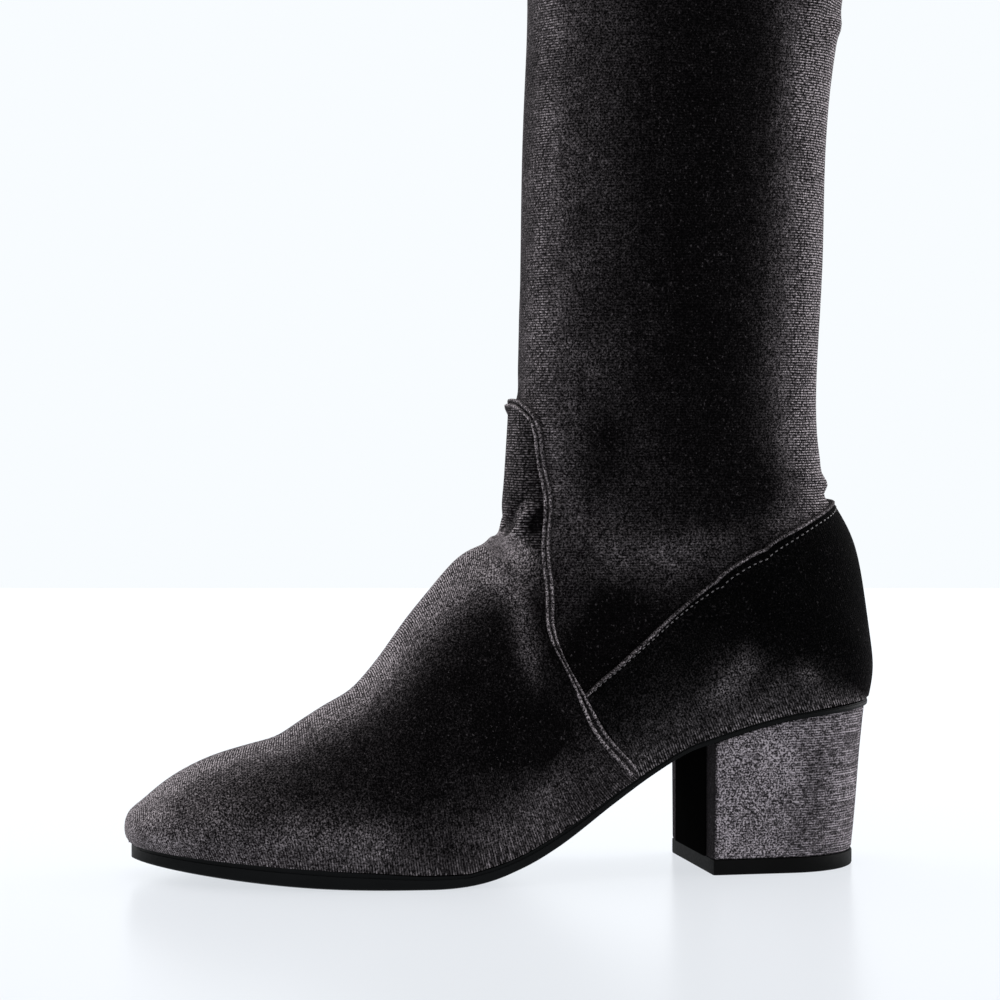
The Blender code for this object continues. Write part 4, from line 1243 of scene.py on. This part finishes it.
# The heel's velvet is paler than the rest; painted shade darkens its front face, it grows darker towards the back,
# and a patch of painted shade marks a soft fold near the rear
front_share = np.clip((along(HEEL_FRONT) + 0.0012 - heel_points[..., 1]) / 0.0010, 0.0, 1.0)
heel_nap_and_shade = 0.60 - 0.58 * front_share - 0.13 * np.clip((heel_points[..., 1] - 0.098) / 0.012, 0.0, 1.0)
heel_fold_shade = -(((heel_points[..., 1] - 0.0985) / 0.0035) ** 2) - ((heel_points[..., 2] - 0.027) / 0.016) ** 2
heel_nap_and_shade = heel_nap_and_shade * (1.0 - 0.45 * np.exp(heel_fold_shade))
heel_nap_and_shade_attributes = {"nap_and_light": heel_nap_and_shade, "ribbing": np.clip((heel_points[..., 1] - 0.080) / 0.020, 0.25, 0.60)}
heel_block = laid("heel_block", heel_points, heel_ribs, heel_nap_and_shade_attributes)
closed_up(heel_block, 50.0)
heel_block.data.materials.append(HEEL_VELVET)
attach(heel_block, "root")
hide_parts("heel_block")


# The heel's front cover: a smooth black sheet glued over the raw edges of the velvet wrap.
COVER = rubber_material("heel_cover", (0.0015, 0.0015, 0.0015), (0.003, 0.003, 0.003), 0.60, 500.0, 0.0)
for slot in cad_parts["heel_breast_cover"].material_slots:
    slot.material = COVER


# The top piece: a black rubber lift nailed and glued under the heel block, worn smooth at its edge.
LIFT_RUBBER = rubber_material("lift_rubber", (0.003, 0.003, 0.003), (0.007, 0.007, 0.007), 0.60, shine=0.03)
LIFT_OVERHANG = 0.0003
lift_rings = []
for z, grow in ((0.0, -0.0006), (0.0002, -0.0002), (0.0006, 0.0), (0.0025, 0.0), (0.0044, 0.0),
                (0.0048, -0.0001), (0.0050, -0.0004)):
    row = HEEL_ROWS[-1]
    reach = LIFT_OVERHANG + grow
    ring = heel_ring(along(row[1]) + reach, row[2] * BALL_WIDTH + reach, 0.0010)
    lift_rings.append([(x, y, z) for x, y in ring])
top_piece = laid("top_piece", np.array(lift_rings))
closed_up(top_piece, 30.0)
top_piece.data.materials.append(LIFT_RUBBER)
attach(top_piece, "root")
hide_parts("top_piece")


# The floor: a wide, pale, glossy sheet, before a white backdrop that shows only from its front.
CAMERA_PLACE = (1.0188, -0.2104, 0.1565)
VIEW_TURN = math.radians(11.5)
view_flat = np.array((-math.cos(VIEW_TURN), math.sin(VIEW_TURN), 0.0))
view_right = np.array((math.sin(VIEW_TURN), math.cos(VIEW_TURN), 0.0))
BACKDROP_REACH = 2.6


def plain_material(name, colour, light, roughness, shine):
    """A plain stage surface, with the light that it gives off."""
    return new_material(name, {
        "Base Color": (*colour, 1.0),
        "Roughness": roughness,
        "Specular IOR Level": shine,
        "Emission Color": (*light, 1.0),
        "Emission Strength": 1.0,
    })[0]


def stage_plane(name, corners, surface):
    """A flat stage surface through four corners."""
    grid = np.array(((corners[0], corners[1]), (corners[3], corners[2])))
    made = laid(name, grid)
    made.data.materials.append(surface)
    return made


start = np.array(CAMERA_PLACE) * (1.0, 1.0, 0.0)
far = start + view_flat * BACKDROP_REACH
near = start - view_flat * 0.1
stage_plane(
    "floor",
    (near - view_right * 1.2, near + view_right * 1.2, far + view_right * 1.2, far - view_right * 1.2),
    plain_material("floor", (0.15, 0.153, 0.158), (0.65, 0.675, 0.71), 0.24, 0.03),
)
WHITE = (0.939, 0.974, 1.0)
backdrop_paint = plain_material("backdrop", (0.0, 0.0, 0.0), WHITE, 1.0, 0.0)
paint_tree = backdrop_paint.node_tree
clear = paint_tree.nodes.new("ShaderNodeBsdfTransparent")
sides = paint_tree.nodes.new("ShaderNodeMixShader")
paint_tree.links.new(paint_tree.nodes.new("ShaderNodeNewGeometry").outputs["Backfacing"], sides.inputs["Fac"])
paint_tree.links.new(paint_tree.nodes["Principled BSDF"].outputs[0], sides.inputs[1])
paint_tree.links.new(clear.outputs[0], sides.inputs[2])
paint_tree.links.new(sides.outputs[0], paint_tree.nodes["Material Output"].inputs["Surface"])
drop = np.array((0.0, 0.0, 1.0))
stage_plane(
    "backdrop",
    (far - view_right * 4.0 - drop, far + view_right * 4.0 - drop,
     far + view_right * 4.0 + drop * 3.0, far - view_right * 4.0 + drop * 3.0),
    backdrop_paint,
)


# The light: wide soft boxes at both sides and above, and a weak fill.
def soft_box(name, place, target, size, power, colour=(1.0, 1.0, 1.0)):
    """A wide area light aimed at a point."""
    lamp = bpy.data.lights.new(name, "AREA")
    lamp.shape = "RECTANGLE"
    lamp.size = size[0]
    lamp.size_y = size[1]
    lamp.energy = power
    lamp.color = colour
    made = bpy.data.objects.new(name, lamp)
    bpy.context.scene.collection.objects.link(made)
    aim = np.array(target) - np.array(place)
    made.location = place
    made.rotation_euler = mathutils.Vector(aim).to_track_quat("-Z", "Y").to_euler()
    return made


middle = np.array((0.0, 0.03, 0.16))
soft_box("left_box", middle - view_right * 1.3 + view_flat * 0.5 + drop * 0.35, middle, (1.2, 1.6), 15.0)
soft_box("right_box", middle + view_right * 1.3 + view_flat * 0.5 + drop * 0.30, middle, (1.2, 1.6), 27.0)
soft_box("top_box", middle + drop * 1.6 - view_right * 0.3, middle, (1.6, 1.2), 14.0)
soft_box("front_box", middle - view_flat * 1.6 + drop * 0.9 - view_right * 0.7, middle, (1.4, 1.2), 4.0)

world = bpy.data.worlds.new("studio")
world.use_nodes = True
sky = world.node_tree
sky.nodes["Background"].inputs["Color"].default_value = (0.97, 0.99, 1.0, 1.0)
sky.nodes["Background"].inputs["Strength"].default_value = 0.22
plain_sky = node(sky, "ShaderNodeBackground", Color=(*WHITE, 1.0))
seen = sky.nodes.new("ShaderNodeMixShader")
rays = sky.nodes.new("ShaderNodeLightPath")
plain_seen = maths(sky, "MAXIMUM", rays.outputs["Is Camera Ray"], rays.outputs["Is Glossy Ray"])
sky.links.new(plain_seen, seen.inputs["Fac"])
sky.links.new(sky.nodes["Background"].outputs[0], seen.inputs[1])
sky.links.new(plain_sky.outputs[0], seen.inputs[2])
sky.links.new(seen.outputs[0], sky.nodes["World Output"].inputs["Surface"])
bpy.context.scene.world = world
bpy.context.scene.view_settings.view_transform = "Standard"


# The camera: low, with a long lens, at the outer side and a little to the front.
FOCAL = 3.130
PITCH = math.atan(0.1 / FOCAL)
lens = bpy.data.cameras.new("camera")
lens.sensor_width = 36.0
lens.lens = FOCAL * lens.sensor_width
camera = bpy.data.objects.new("camera", lens)
bpy.context.scene.collection.objects.link(camera)
view = view_flat * math.cos(PITCH) - drop * math.sin(PITCH)
view_up = np.cross(view_right, view)
turned = np.eye(4)
turned[:3, 0] = view_right
turned[:3, 1] = view_up
turned[:3, 2] = -view
turned[:3, 3] = CAMERA_PLACE
camera.matrix_world = mathutils.Matrix(turned.tolist())
bpy.context.scene.camera = camera
